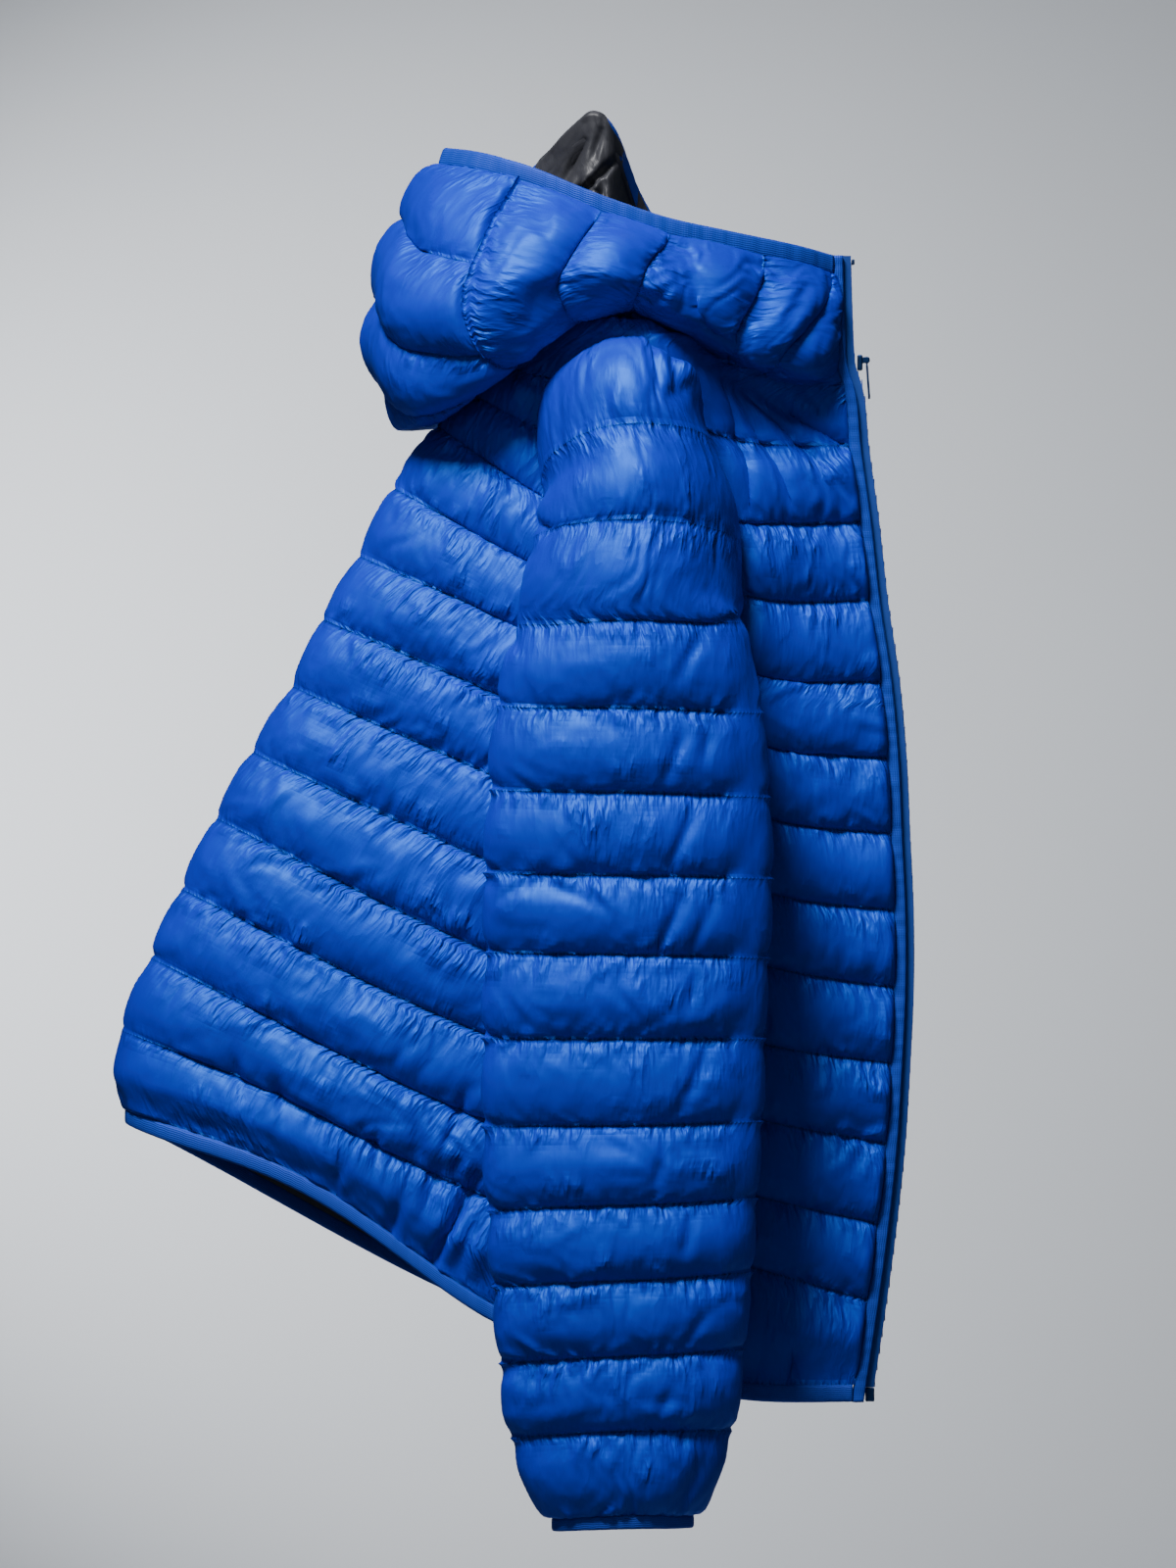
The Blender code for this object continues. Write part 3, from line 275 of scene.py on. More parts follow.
def body_normal(row, x, near=True):
    """Outward direction of the body's wall, level along the neck seam."""
    across = body_point(row, x + 0.5, near) - body_point(row, x - 0.5, near)
    if row <= 0.0:
        return unit([across[1], -across[0], 0.0])
    along = body_point(min(row + 0.05, HEM_ROW), x, near) - body_point(max(row - 0.05, 0.01), x, near)
    return unit(np.cross(along, across))


def even_line(curve, start, end, count):
    """Points evenly spaced along a curve that is given by x, from one x to another."""
    x = start + (end - start) * (0.5 - 0.5 * np.cos(np.linspace(0.0, np.pi, 240)))
    points = curve(x)
    at = distances(points)
    return read_at(np.linspace(0.0, at[-1], count), at, points)


def armhole_edge(edge_x):
    """Points on the outside of the body along one side of the armhole, from the shoulder down."""
    lift = SEWN_WALL + SLEEVE_SEAT
    rows = np.linspace(ARMHOLE_TOP_ROW, ARMHOLE_LOW_ROW, 61)
    return np.array([body_point(r, edge_x(r)) + body_normal(r, edge_x(r)) * lift for r in rows])


def at_height(edge, z):
    """The point of an edge at a height."""
    edge = edge[np.argsort(edge[:, 2])]
    return read_at(z, edge[:, 2], edge)


def bent(value, power):
    return math.copysign(abs(value) ** power, value)


def clear_of_body(point):
    """Move a point of the sleeve's inside out until its wall hangs clear of the body's padding."""
    x, y, z = point
    low, high = ARMHOLE_TOP_ROW, float(HEM_ROW)
    if z < body_point(high, x)[2] or x > panel_edge_x(HEM_ROW):
        return point
    for _ in range(HALVINGS):
        row = (low + high) / 2
        low, high = (row, high) if body_point(row, x)[2] > z else (low, row)
    limit = body_point(low, x)[1] - 2 * PADDED_WALL - SLEEVE_CLEAR
    return [x, min(y, limit), z]


def sleeve_row_table(seam):
    return [float(smooth(SLEEVE[:, 0], SLEEVE[:, k], max(seam, 1.0))) for k in range(1, 8)]


def cap_row(seam, back_edge, front_edge):
    """An open row of the sleeve's head, from the armhole's back edge over the outside to its front edge."""
    z_back, z_mid, z_front, x_back, x_front, y_out, _ = sleeve_row_table(seam)
    tip, low = back_edge[0], back_edge[-1, 2]
    if seam < 1.0:
        z_mid = tip[2] + (z_mid - tip[2]) * seam**1.3
        y_out = tip[1] + (y_out - tip[1]) * math.sin(0.5 * math.pi * seam)
        z_back = tip[2] - HEAD_DROP + (z_back - tip[2] + HEAD_DROP) * seam
        z_front = tip[2] - HEAD_DROP + (z_front - tip[2] + HEAD_DROP) * seam
    if seam > 2.0:
        z_back += (low - z_back) * (seam - 2.0) ** 2
        z_front += (low - z_front) * (seam - 2.0) ** 2
    halves = []
    power = 2.0 / SLEEVE_ROUNDNESS
    for edge, z_end, x_side, sign in ((back_edge, z_back, x_back, -1), (front_edge, z_front, x_front, 1)):
        end = at_height(edge, max(z_end, low))
        inset = abs(end[0] - SLEEVE_RIDGE_X)
        reach = max(abs(x_side - SLEEVE_RIDGE_X) - PADDED_WALL, inset + 0.5)
        turn = math.acos((inset / reach) ** (1.0 / power))
        end[1] -= SEWN_WALL * math.sin(turn)
        half = (end[1] - y_out) / (1.0 + math.sin(turn) ** power)
        side = [end]
        for k in range(1, SLEEVE_COLUMNS // 2 + 1):
            angle = -turn + (math.pi / 2 + turn) * k / (SLEEVE_COLUMNS // 2)
            x = SLEEVE_RIDGE_X + sign * reach * bent(math.cos(angle), power)
            y = y_out + half - half * bent(math.sin(angle), power)
            down = (1.0 - math.sin(angle)) / (1.0 + math.sin(turn))
            point = [x, y, z_mid + (end[2] - z_mid) * down]
            side.append(clear_of_body(point) if angle < 0 else point)
        halves.append(side)
    return np.array(halves[0] + halves[1][::-1][1:])


def tube_row(seam, underarm):
    """A whole ring of the sleeve, from the underarm seam round the back edge and the outside."""
    z_back, z_mid, z_front, x_back, x_front, y_out, y_in = sleeve_row_table(seam)
    power = 2.0 / SLEEVE_ROUNDNESS
    centre, half = (y_in + y_out) / 2, (y_in - y_out) / 2
    ring = []
    for k in range(SLEEVE_COLUMNS + 1):
        angle = -math.pi / 2 + 2 * math.pi * k / SLEEVE_COLUMNS
        side = math.cos(angle)
        reach = (SLEEVE_RIDGE_X - x_back if side > 0 else x_front - SLEEVE_RIDGE_X) - PADDED_WALL
        x = SLEEVE_RIDGE_X - reach * bent(side, power)
        y = centre - half * bent(math.sin(angle), power)
        z_edge = z_back if side > 0 else z_front
        z_level = z_mid if math.sin(angle) > 0 else (z_back + z_front) / 2
        point = [x, y, z_level + (z_edge - z_level) * abs(side) ** 1.5]
        ring.append(clear_of_body(point) if math.sin(angle) < 0.5 else point)
    if seam == SLEEVE_CLOSED_SEAM:
        ring[0] = ring[-1] = underarm - (0.0, SEWN_WALL, 0.0)
    return np.array(ring)


def head_row(back_edge, front_edge):
    half = SLEEVE_COLUMNS // 2
    tip = back_edge[0, 2]
    back = [at_height(back_edge, z) for z in np.linspace(tip - HEAD_DROP, tip, half + 1)]
    front = [at_height(front_edge, z) for z in np.linspace(tip, tip - HEAD_DROP, half + 1)]
    return np.array(back + front[1:])


def sleeve_surface():
    """Inside of the right sleeve by rows, from the armhole's head to the cuff seam."""
    back_edge, front_edge = armhole_edge(back_edge_x), armhole_edge(front_edge_x)
    rows = [head_row(back_edge, front_edge)]
    for k in range(1, len(SLEEVE_ROWS) * SOLID_ROWS + 1):
        seam = k / SOLID_ROWS
        if seam < SLEEVE_CLOSED_SEAM:
            rows.append(cap_row(seam, back_edge, front_edge))
        else:
            rows.append(tube_row(seam, back_edge[-1]))
    return np.array(rows)


def neck_points():
    """The neck seam from the fold to the front edge: a point for each rib, and its outward direction."""
    back = fold_x(0) + np.linspace(0.0, 1.0, BACK_NECK_RIBS // 2 + 1) * (side_x(0) - fold_x(0))
    front = np.linspace(side_x(0), panel_edge_x(0), (HOOD_RIB_COUNT - BACK_NECK_RIBS) // 2 + 1)
    xs = np.concatenate([back, front[1:]])
    points = body_line(0, xs)
    outs = np.array([body_normal(0, x) for x in xs])
    outs[0] = (-1.0, 0.0, 0.0)
    at, whole = np.linspace(0, len(xs) - 1, HOOD_RIB_COUNT + 1), np.arange(len(xs))
    return read_at(at, whole, points), unit(read_at(at, whole, outs))


def hood_surface(near=True):
    """Inside of half the hood, by rows from the rim to the neck and by ribs from the centre."""
    places = np.array([r[0] for r in HOOD_RIBS], float)
    controls = np.array([r[1:] for r in HOOD_RIBS], float)
    controls[-1, :, 0] = beside_placket(controls[-1, :, 2])
    neck, level = neck_points()
    peak = np.array(PEAK_LIFT, float)
    grid = np.zeros((HOOD_STEPS + 1, HOOD_RIB_COUNT + 1, 3))
    for k in range(HOOD_RIB_COUNT + 1):
        place = k / HOOD_RIB_COUNT
        knots = [[float(smooth(places, controls[:, p, a], place)) for a in range(3)] for p in range(4)]
        foot = neck[k] + (0.0, 0.0, SEAM_GAP)
        turned = 1.0 - float(ease((place - STAND_STARTS) / (STAND_ENDS - STAND_STARTS)))
        stand = foot + level[k] * STAND_OUT * turned + np.array([0.0, 0.0, STAND_UP * turned])
        knots = np.array(knots + [stand] * (turned > 0.1) + [foot])
        if not near:
            lift = float(np.interp(knots[0, 0], peak[:, 0], peak[:, 1]))
            drawn = lift / peak[:, 1].max()
            for p, share in enumerate(PEAK_SHARES):
                knots[p, 2] += lift * share
                knots[p, 1] += (-PEAK_SIDE - knots[p, 1]) * drawn * share
        at = distances(knots)
        along = at[-1] * np.arange(HOOD_STEPS + 1) / HOOD_STEPS
        grid[:, k] = np.stack([smooth(at, knots[:, a], along) for a in range(3)], axis=-1)
    grid[:, -1, 0] = beside_placket(grid[:, -1, 2])
    return grid if near else mirrored(grid)


# --- fine grids -------------------------------------------------------------------------------------------------
def refined(grid, rows, columns):
    """The surface through a coarse grid, read at row and column numbers that need not be whole."""
    whole_rows, whole_columns = np.arange(grid.shape[0]), np.arange(grid.shape[1])
    tall = np.stack(
        [np.stack([smooth(whole_rows, grid[:, j, k], rows) for j in whole_columns], axis=1) for k in range(3)],
        axis=-1,
    )
    return np.stack(
        [np.stack([smooth(whole_columns, tall[i, :, k], columns) for i in range(len(rows))]) for k in range(3)],
        axis=-1,
    )


def sampled(grid, rows, columns):
    """A dense grid read between its points, where both number arrays have the wanted shape."""
    i = np.clip(np.floor(rows).astype(int), 0, grid.shape[0] - 2)
    j = np.clip(np.floor(columns).astype(int), 0, grid.shape[1] - 2)
    s, t = (rows - i)[..., None], (columns - j)[..., None]
    upper = grid[i, j] * (1 - t) + grid[i, j + 1] * t
    lower = grid[i + 1, j] * (1 - t) + grid[i + 1, j + 1] * t
    return upper * (1 - s) + lower * s


def respaced(grid):
    """Each row's points spread evenly along it."""
    share = np.linspace(0.0, 1.0, grid.shape[1])
    lines = []
    for line in grid:
        at = distances(line)
        lines.append(read_at(share * at[-1], at, line))
    return np.array(lines)


def grid_normals(points, closed_from=None):
    """Outward directions of a grid whose columns run forward over the near side."""
    along = np.gradient(points, axis=0)
    across = np.gradient(points, axis=1)
    if closed_from is not None:
        wrap = points[closed_from:, 1] - points[closed_from:, -2]
        across[closed_from:, 0] = wrap
        across[closed_from:, -1] = wrap
    return unit(np.cross(along, across))


def blurred(field, times):
    """A field of numbers evened out with its neighbours."""
    for _ in range(times):
        field = np.pad(field, 1, mode="edge")
        field = (field[:-2, 1:-1] + field[2:, 1:-1] + field[1:-1, :-2] + field[1:-1, 2:]) / 4
    return field


# --- down-filled cloth -------------------------------------------------------------------------------------------
def pull(p, free, first, second, rest, firm):
    """Move pairs of points towards their rest distance, each by its share of freedom."""
    a, b = p[first], p[second]
    d = b - a
    length = np.sqrt((d * d).sum(-1)) + 1e-6
    wa, wb = free[first], free[second]
    d *= (firm * (length - rest) / (length * (wa + wb + 1e-6)))[..., None]
    p[first] = a + d * wa[..., None]
    p[second] = b - d * wb[..., None]


def smeared(field, axis, times):
    """A field evened out along one axis."""
    field = np.moveaxis(field, axis, 0)
    for _ in range(times):
        wide = np.concatenate([field[:1], field, field[-1:]])
        field = (wide[:-2] + 2 * field + wide[2:]) / 4
    return np.moveaxis(field, 0, axis)


def rounds_for(size, step):
    """Rounds of evening out that leave swells of about a size, on a grid with a step of that length."""
    return max(int((size / step) ** 2 / 4), 1)


def from_lines(held_lines, count):
    """How many rows each row of a grid is from the nearest stitch line."""
    rows = np.arange(count)
    return np.abs(rows[:, None] - np.asarray(held_lines)).min(axis=1).astype(float)


def puckers(shape, lines, spacing, seed, axis=0):
    """Height of the creases that run from the stitch lines into the channels, drawn up by the thread.

    spacing is the grid's step in millimetres across and along the lines, and axis is the one that crosses them.
    """
    rng = np.random.default_rng(seed)
    rows, columns = shape if axis == 0 else shape[::-1]
    across, along = spacing
    away = from_lines(lines, rows)
    lean = blurred(rng.standard_normal((rows, columns)), 1)
    lean = smeared(smeared(lean, 1, int(PUCKER_LEAN_RUN / along)), 0, PUCKER_LEAN_ROUNDS)
    lean *= PUCKER_LEAN * across / along / (lean.std() + 1e-9)
    j = np.clip(np.arange(columns) + lean * away[:, None], 0, columns - 1.001)
    i = np.arange(rows)[:, None] * np.ones(columns)
    height = np.zeros((rows, columns))
    for wide, long, reach, deep, floor in PUCKERS:
        field = rng.standard_normal((rows, columns))
        field = smeared(smeared(field, 1, rounds_for(wide, along)), 0, rounds_for(long, across))
        field /= field.std()
        field = sampled(field[..., None], np.minimum(i, rows - 1.001), j)[..., 0]
        patch = smeared(rng.standard_normal((rows, columns)), 1, rounds_for(PUCKER_PATCH, along))
        patch = smeared(patch, 0, PUCKER_PATCH_ROUNDS)
        patch = np.clip(1.0 + PUCKER_PATCH_CONTRAST * patch / patch.std(), *PUCKER_PATCH_LIMITS)
        near = floor + (1 - floor) * np.exp(-((away * across / reach) ** 1.5))
        height += deep * near[:, None] * patch * (np.minimum(np.abs(field), PUCKER_HIGHEST) - PUCKER_MEAN)
    edge = ease(np.minimum(np.arange(columns), columns - 1 - np.arange(columns)) * along / PUCKER_END_FADE)
    height = height * edge * (0.35 + 0.65 * ease(away * across / PUCKER_LINE_FADE))[:, None]
    return height if axis == 0 else height.T


def drawn_share(shape, lines, spacing, seed, axis=0):
    """How strongly the thread gathers the cloth: most just below a stitch line, in patches along it."""
    rng = np.random.default_rng(seed)
    rows, columns = shape if axis == 0 else shape[::-1]
    across, along = spacing
    gap = np.arange(rows)[:, None] - np.asarray(lines)
    below = np.where(gap >= 0, gap, rows).min(axis=1) * across
    above = np.where(gap <= 0, -gap, rows).min(axis=1) * across
    share = np.zeros((rows, columns))
    for wide, weight in GATHER_PATCHES:
        patch = smeared(rng.standard_normal((rows, columns)), 1, rounds_for(wide, along))
        patch = smeared(patch, 0, rounds_for(GATHER_PATCH_DOWN, across))
        share += weight * patch / patch.std()
    reach = GATHER_REACH * np.exp(0.6 * share)
    strength = np.exp(-((below[:, None] / reach) ** 1.4)) + 0.5 * np.exp(-((above[:, None] / (0.5 * reach)) ** 1.4))
    strength = np.clip(strength + 0.14 * np.clip(share - 0.3, 0.0, 2.0), 0.0, 1.0)
    return strength if axis == 0 else strength.T


def pairs(rows, columns):
    """Slices of a grid's threads: along its rows, down its columns and on both diagonals, none sharing a point."""
    found = []
    for s in (0, 1):
        found.append(("weft", np.s_[:, s : columns - 1 : 2], np.s_[:, s + 1 : columns : 2]))
        found.append(("warp", np.s_[s : rows - 1 : 2, :], np.s_[s + 1 : rows : 2, :]))
        found.append(("bias", np.s_[s : rows - 1 : 2, :-1], np.s_[s + 1 : rows : 2, 1:]))
        found.append(("bias", np.s_[s : rows - 1 : 2, 1:], np.s_[s + 1 : rows : 2, :-1]))
    return found


def channel_arch(shape, lines, axis=0):
    """Rounded height of the channels between the stitch lines, from 0 on a line to 1 in the middle."""
    away = from_lines(lines, shape[axis])
    stops = sorted(set(lines))
    half = np.concatenate([np.full(b - a, (b - a) / 2) for a, b in zip(stops, stops[1:])] + [[1.0]])
    arch = (1.0 - (1.0 - np.clip(away / half, 0.0, 1.0)) ** 2) ** ARCH_POWER
    return arch[:, None] * np.ones(shape) if axis == 0 else arch * np.ones(shape)


def puffed(base, out, held, lift, filling, seed, rounds):
    """Cloth that is sewn down where held and blown off its base by down.

    lift is the height of the sewn cloth, and filling has its numbers: slack across and down the channels, the
    push of the down, its droop and the highest crown.
    """
    rng = np.random.default_rng(seed)
    rows, columns = held.shape
    base, out = base.astype(np.float32), out.astype(np.float32)
    free = np.where(held, 0.0, 1.0).astype(np.float32)
    rough = blurred(rng.standard_normal((rows, columns)), 2)
    slack = 1.0 + filling["across"] * (1.0 + 1.2 * blurred(rng.standard_normal((rows, columns)), 30) * 8)
    slack = np.clip(slack, 1.0, 1.0 + 2.5 * filling["across"]).astype(np.float32)
    drop = (1.0 + filling["down"]) * np.ones_like(slack)
    p = base + out * (lift + rough * np.where(held, 0.25, 0.5)).astype(np.float32)[..., None]
    side = np.float32(np.sign((grid_normals(p) * out).sum()))
    threads = []
    for kind, first, second in pairs(rows, columns):
        length = np.linalg.norm(base[second] - base[first], axis=-1)
        if kind == "weft":
            length, firm = length * slack[first], THREAD_FIRM
        elif kind == "warp":
            length, firm = length * drop[first], THREAD_FIRM
        else:
            length, firm = length * (slack[first] + drop[first]) / 2, BIAS_FIRM
        threads.append((first, second, length.astype(np.float32), firm))
    push = np.float32(filling["push"])
    droop = np.array([0.0, 0.0, -filling["droop"]], np.float32)
    for step in range(rounds):
        if step % FACING_EVERY == 0:
            facing = side * grid_normals(p).astype(np.float32)
            facing = unit(facing + FACING_LEAN * out).astype(np.float32)
        p += (facing * push + droop) * free[..., None]
        for first, second, length, firm in threads:
            pull(p, free, first, second, length, firm)
        for axis in (0, 1):
            q = np.moveaxis(p, axis, 0)
            bend = q[2:] - 2 * q[1:-1] + q[:-2]
            curve = np.zeros_like(q)
            curve[1:-1] = bend
            stiff = (curve[2:] - 2 * curve[1:-1] + curve[:-2]) * np.float32(filling["stiff"])
            q[1:-1] -= stiff * np.moveaxis(free, axis, 0)[1:-1, :, None]
        height = ((p - base) * out).sum(-1)
        off = np.clip(height, LOWEST, filling["crown"]) - height
        p += out * (off * free)[..., None]
    return p.astype(float)


def laid(name, bm, finish):
    """A finished mesh as a piece of the garment."""
    mesh = bpy.data.meshes.new(name)
    bm.to_mesh(mesh)
    bm.free()
    mesh.shade_smooth()
    mesh.materials.append(finish)
    piece = bpy.data.objects.new(name, mesh)
    bpy.context.scene.collection.objects.link(piece)
    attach(piece, BODY_NAME)
    return piece


def run_length(points, axis):
    """Distance from the first point of each line of a grid, along its rows or columns."""
    steps = np.linalg.norm(np.diff(points, axis=axis), axis=-1)
    first = np.zeros_like(np.take(steps, [0], axis=axis))
    return np.concatenate([first, np.cumsum(steps, axis=axis)], axis=axis)


def grid_mesh(points, across, down, fields):
    """A mesh through a grid of points, with each point's place on the cloth in metres and its fields of numbers."""
    rows, columns = points.shape[:2]
    bm = bmesh.new()
    bmesh.ops.create_grid(bm, x_segments=columns - 1, y_segments=rows - 1, size=1.0)
    cloth = bm.loops.layers.uv.new("cloth")
    layers = [(bm.verts.layers.float.new(key), field.ravel()) for key, field in fields.items()]
    places = points.reshape(-1, 3) * MM
    for k, vert in enumerate(bm.verts):
        vert.co = places[k]
        for layer, values in layers:
            vert[layer] = values[k]
        for loop in vert.link_loops:
            loop[cloth].uv = (across[k], down[k])
    return bm


def cloth_piece(name, points, fields, finish, outward, axis=0):
    """A sheet of cloth laid on a grid of points. It keeps its place along and across its quilting, and fields of
    numbers for its finish, such as its nearness to a seam."""
    rows, columns = points.shape[:2]
    across = run_length(points, 1)
    across = (across - across[:, columns // 2 : columns // 2 + 1]).ravel() * MM
    down = run_length(points, 0).ravel() * MM
    places = (across, down) if axis == 0 else (down, across)
    bm = grid_mesh(points, *places, fields)
    bm.normal_update()
    bm.verts.ensure_lookup_table()
    middle = (rows // 2) * columns + columns // 2
    if bm.verts[middle].normal.dot(Vector(outward[rows // 2, columns // 2])) < 0:
        bmesh.ops.reverse_faces(bm, faces=bm.faces[:])
    return laid(name, bm, finish)


def band_piece(name, path, along, out, size, finish, ripple, closed=False):
    """A bound edge: a rounded band whose back lies on a path, drawn up a little by its elastic."""
    width, thick = size
    turn = np.linspace(0.0, 2 * np.pi, BAND_SIDES + 1)
    reach = width / 2 * (1 - np.sign(np.cos(turn)) * np.abs(np.cos(turn)) ** 0.55)
    rise = thick / 2 * (1 - np.sign(np.sin(turn)) * np.abs(np.sin(turn)) ** 0.75)
    swell = 1.0 + ripple
    points = path[:, None] + along[:, None] * reach[:, None] + out[:, None] * (rise * swell[:, None])[..., None]
    columns = points.shape[1]
    run = run_length(points, 0)[:, columns // 2] * MM
    bm = grid_mesh(points, np.repeat(run, columns), run_length(points, 1).ravel() * MM, {})
    bmesh.ops.remove_doubles(bm, verts=bm.verts[:], dist=WELD)
    if not closed:
        bmesh.ops.holes_fill(bm, edges=[e for e in bm.edges if e.is_boundary], sides=BAND_SIDES + 1)
    bmesh.ops.recalc_face_normals(bm, faces=bm.faces[:])
    return laid(name, bm, finish)


# --- shader maths ------------------------------------------------------------------------------------------------
class Value:
    """A socket of a finish. Arithmetic on it adds the nodes."""

    def __init__(self, finish, socket):
        self.finish, self.socket = finish, socket

    def math(self, operation, *others):
        sockets = {k: item for k, item in enumerate((self, *others))}
        return self.finish.add("ShaderNodeMath", {"operation": operation}, sockets)

    def __add__(self, other):
        return self.math("ADD", other)

    def __sub__(self, other):
        return self.math("SUBTRACT", other)

    def __rsub__(self, other):
        return (self * -1.0) + other

    def __mul__(self, other):
        return self.math("MULTIPLY", other)

    def __pow__(self, other):
        return self.math("POWER", other)

    __radd__, __rmul__ = __add__, __mul__


class Finish:
    """A material being written: its nodes, and the Principled shader's own sockets."""

    def __init__(self, name, **constants):
        self.material = bpy.data.materials.new(name)
        self.material.use_nodes = True
        self.tree = self.material.node_tree
        self.shader = self.tree.nodes["Principled BSDF"]
        for socket, value in constants.items():
            self.shader.inputs[socket.replace("_", " ")].default_value = value
        self.material.diffuse_color = self.shader.inputs["Base Color"].default_value[:]

    def add(self, kind, settings=None, sockets=None, output=0):
        """A node of a kind with its settings, then its sockets' values or links. Gives back one output."""
        node = self.tree.nodes.new(kind)
        for key, value in (settings or {}).items():
            if key == "stops":
                ramp = node.color_ramp
                while len(ramp.elements) < len(value):
                    ramp.elements.new(1.0)
                for element, (at, level) in zip(ramp.elements, value):
                    element.position = at
                    element.color = (level, level, level, 1.0)
            else:
                setattr(node, key, value)
        for key, value in (sockets or {}).items():
            if isinstance(value, Value):
                self.tree.links.new(value.socket, node.inputs[key])
            else:
                node.inputs[key].default_value = value
        return Value(self, node.outputs[output])

    def cloth(self):
        """The place on the cloth, in metres across and down."""
        return self.add("ShaderNodeUVMap", {"uv_map": "cloth"})

    def field(self, name):
        return self.add("ShaderNodeAttribute", {"attribute_name": name}, output="Fac")

    def stretched(self, vector, scale, turn=0.0):
        return self.add(
            "ShaderNodeMapping", {}, {"Vector": vector, "Scale": scale, "Rotation": (0.0, 0.0, turn)}
        )

    def noise(self, vector, scale, detail=3.0, rough=0.55):
        return self.add(
            "ShaderNodeTexNoise", {}, {"Vector": vector, "Scale": scale, "Detail": detail, "Roughness": rough}
        )

    def creases(self, vector, scale, turn):
        """Sharp ridges with round hollows between them, drawn out along one direction."""
        field = self.noise(self.stretched(vector, scale, turn), 1.0, 2.0, 0.4)
        return (field - 0.5).math("ABSOLUTE") * -5.0 + 1.0

    def threads(self, vector, scale, direction):
        return self.add(
            "ShaderNodeTexWave",
            {"wave_type": "BANDS", "bands_direction": direction},
            {"Vector": vector, "Scale": scale, "Distortion": 0.0},
        )

    def mix(self, share, first, second):
        return self.add(
            "ShaderNodeMix", {"data_type": "RGBA"}, {"Factor": share, 6: first, 7: second}, output=2
        )

    def bump(self, height, distance, strength=1.0, over=None):
        sockets = {"Height": height, "Distance": distance, "Strength": strength}
        if over is not None:
            sockets["Normal"] = over
        return self.add("ShaderNodeBump", {}, sockets)

    def feed(self, **values):
        for key, value in values.items():
            self.tree.links.new(value.socket, self.shader.inputs[key.replace("_", " ")])
        return self.material


def shade(colour, factor):
    return (*[c * factor for c in colour[:3]], 1.0)


def shell_finish(colour):
    """Thin calendered nylon: glossy, finely woven, creased across its seams, with painted shade along its stitch
    lines.
    """
    made = Finish(
        "shell_nylon",
        Base_Color=(*colour, 1.0),
        Roughness=0.5,
        IOR=1.6,
        Metallic=0.2,
        Specular_Tint=(0.05, 0.75, 1.0, 1.0),
    )
    cloth, seam, drawn = made.cloth(), made.field("seam"), made.field("drawn")
    broad = made.noise(cloth, 9.0)
    drift = made.noise(cloth, 22.0, 1.0)
    gathers = made.creases(cloth, (125.0, 34.0, 1.0), 0.32)
    finer = made.creases(cloth, (230.0, 62.0, 1.0), -0.4)
    crossing = made.creases(cloth, (60.0, 30.0, 1.0), 0.9)
    weave = made.threads(cloth, 900.0, "X") * made.threads(cloth, 900.0, "Y")
    tone = made.mix(broad, shade(colour, 0.75), shade(colour, 1.25))
    stitches = made.threads(cloth, 126.0, "X")
    # painted shade: the colour falls to a fifth along the stitch lines, where the groove between two puffed channels
    # lies in shade
    tone = made.mix((seam ** 6.0) * 0.6, tone, shade(colour, 0.2))
    tone = made.mix((seam ** 9.0) * (stitches ** 3.0) * 0.7, tone, shade(colour, 1.7))
    rough = broad * 0.14 + drawn * 0.04 + 0.46
    folds = made.bump(crossing * (drift * 0.9), 0.0022, 0.35)
    folds = made.bump(gathers * (drawn * 0.97 + 0.03), 0.0034, 0.6, folds)
    folds = made.bump(finer * (drawn * 0.92 + 0.08), 0.0012, 0.5, folds)
    folds = made.bump((seam ** 9.0) * stitches, 0.0004, 0.6, folds)
    return made.feed(Base_Color=tone, Roughness=rough, Normal=made.bump(weave, 0.00006, 0.25, folds))


def lining_finish(colour):
    """Dull taffeta lining, with painted shade along its stitch lines."""
    made = Finish("lining_taffeta", Base_Color=(*colour, 1.0), Roughness=0.5, Specular_IOR_Level=0.4)
    cloth, seam = made.cloth(), made.field("seam")
    broad = made.noise(cloth, 12.0)
    crinkle = made.noise(made.stretched(cloth, (150.0, 50.0, 1.0)), 1.0, 4.0)
    weave = made.threads(cloth, 800.0, "X") * made.threads(cloth, 800.0, "Y")
    tone = made.mix(broad, shade(colour, 0.75), shade(colour, 1.3))
    # painted shade: the lining is darker along its stitch lines, where it dips between its puffs
    tone = made.mix(seam * 0.5, tone, shade(colour, 0.45))
    folds = made.bump(crinkle, 0.0014, 0.5)
    return made.feed(Base_Color=tone, Roughness=broad * 0.15 + 0.42, Normal=made.bump(weave, 0.00006, 0.25, folds))


def binding_finish(colour):
    """Stretch binding with a fine rib along it."""
    made = Finish(
        "stretch_binding", Base_Color=(*colour, 1.0), Roughness=0.6, Specular_IOR_Level=0.25, Metallic=0.25
    )
    cloth = made.cloth()
    rib = made.threads(cloth, 260.0, "Y")
    knit = made.threads(cloth, 330.0, "X")
    broad = made.noise(cloth, 40.0)
    tone = made.mix(broad, shade(colour, 0.8), shade(colour, 1.2))
    tone = made.mix(rib * 0.35, tone, shade(colour, 0.6))
    ribs = made.bump(rib + knit * 0.4, 0.0003, 0.5)
    return made.feed(Base_Color=tone, Roughness=broad * 0.1 + 0.55, Normal=ribs)


def tape_finish(colour):
    """Herringbone zip tape, read from the piece's own place because its solid has no map."""
    made = Finish("zip_tape_weave", Base_Color=(*colour, 1.0), Roughness=0.7)
    place = made.add("ShaderNodeTexCoord", output="Object")
    twill = made.threads(place, 700.0, "DIAGONAL")
    broad = made.noise(place, 60.0)
    tone = made.mix(broad, shade(colour, 0.75), shade(colour, 1.2))
    return made.feed(Base_Color=tone, Normal=made.bump(twill, 0.00015, 0.4))


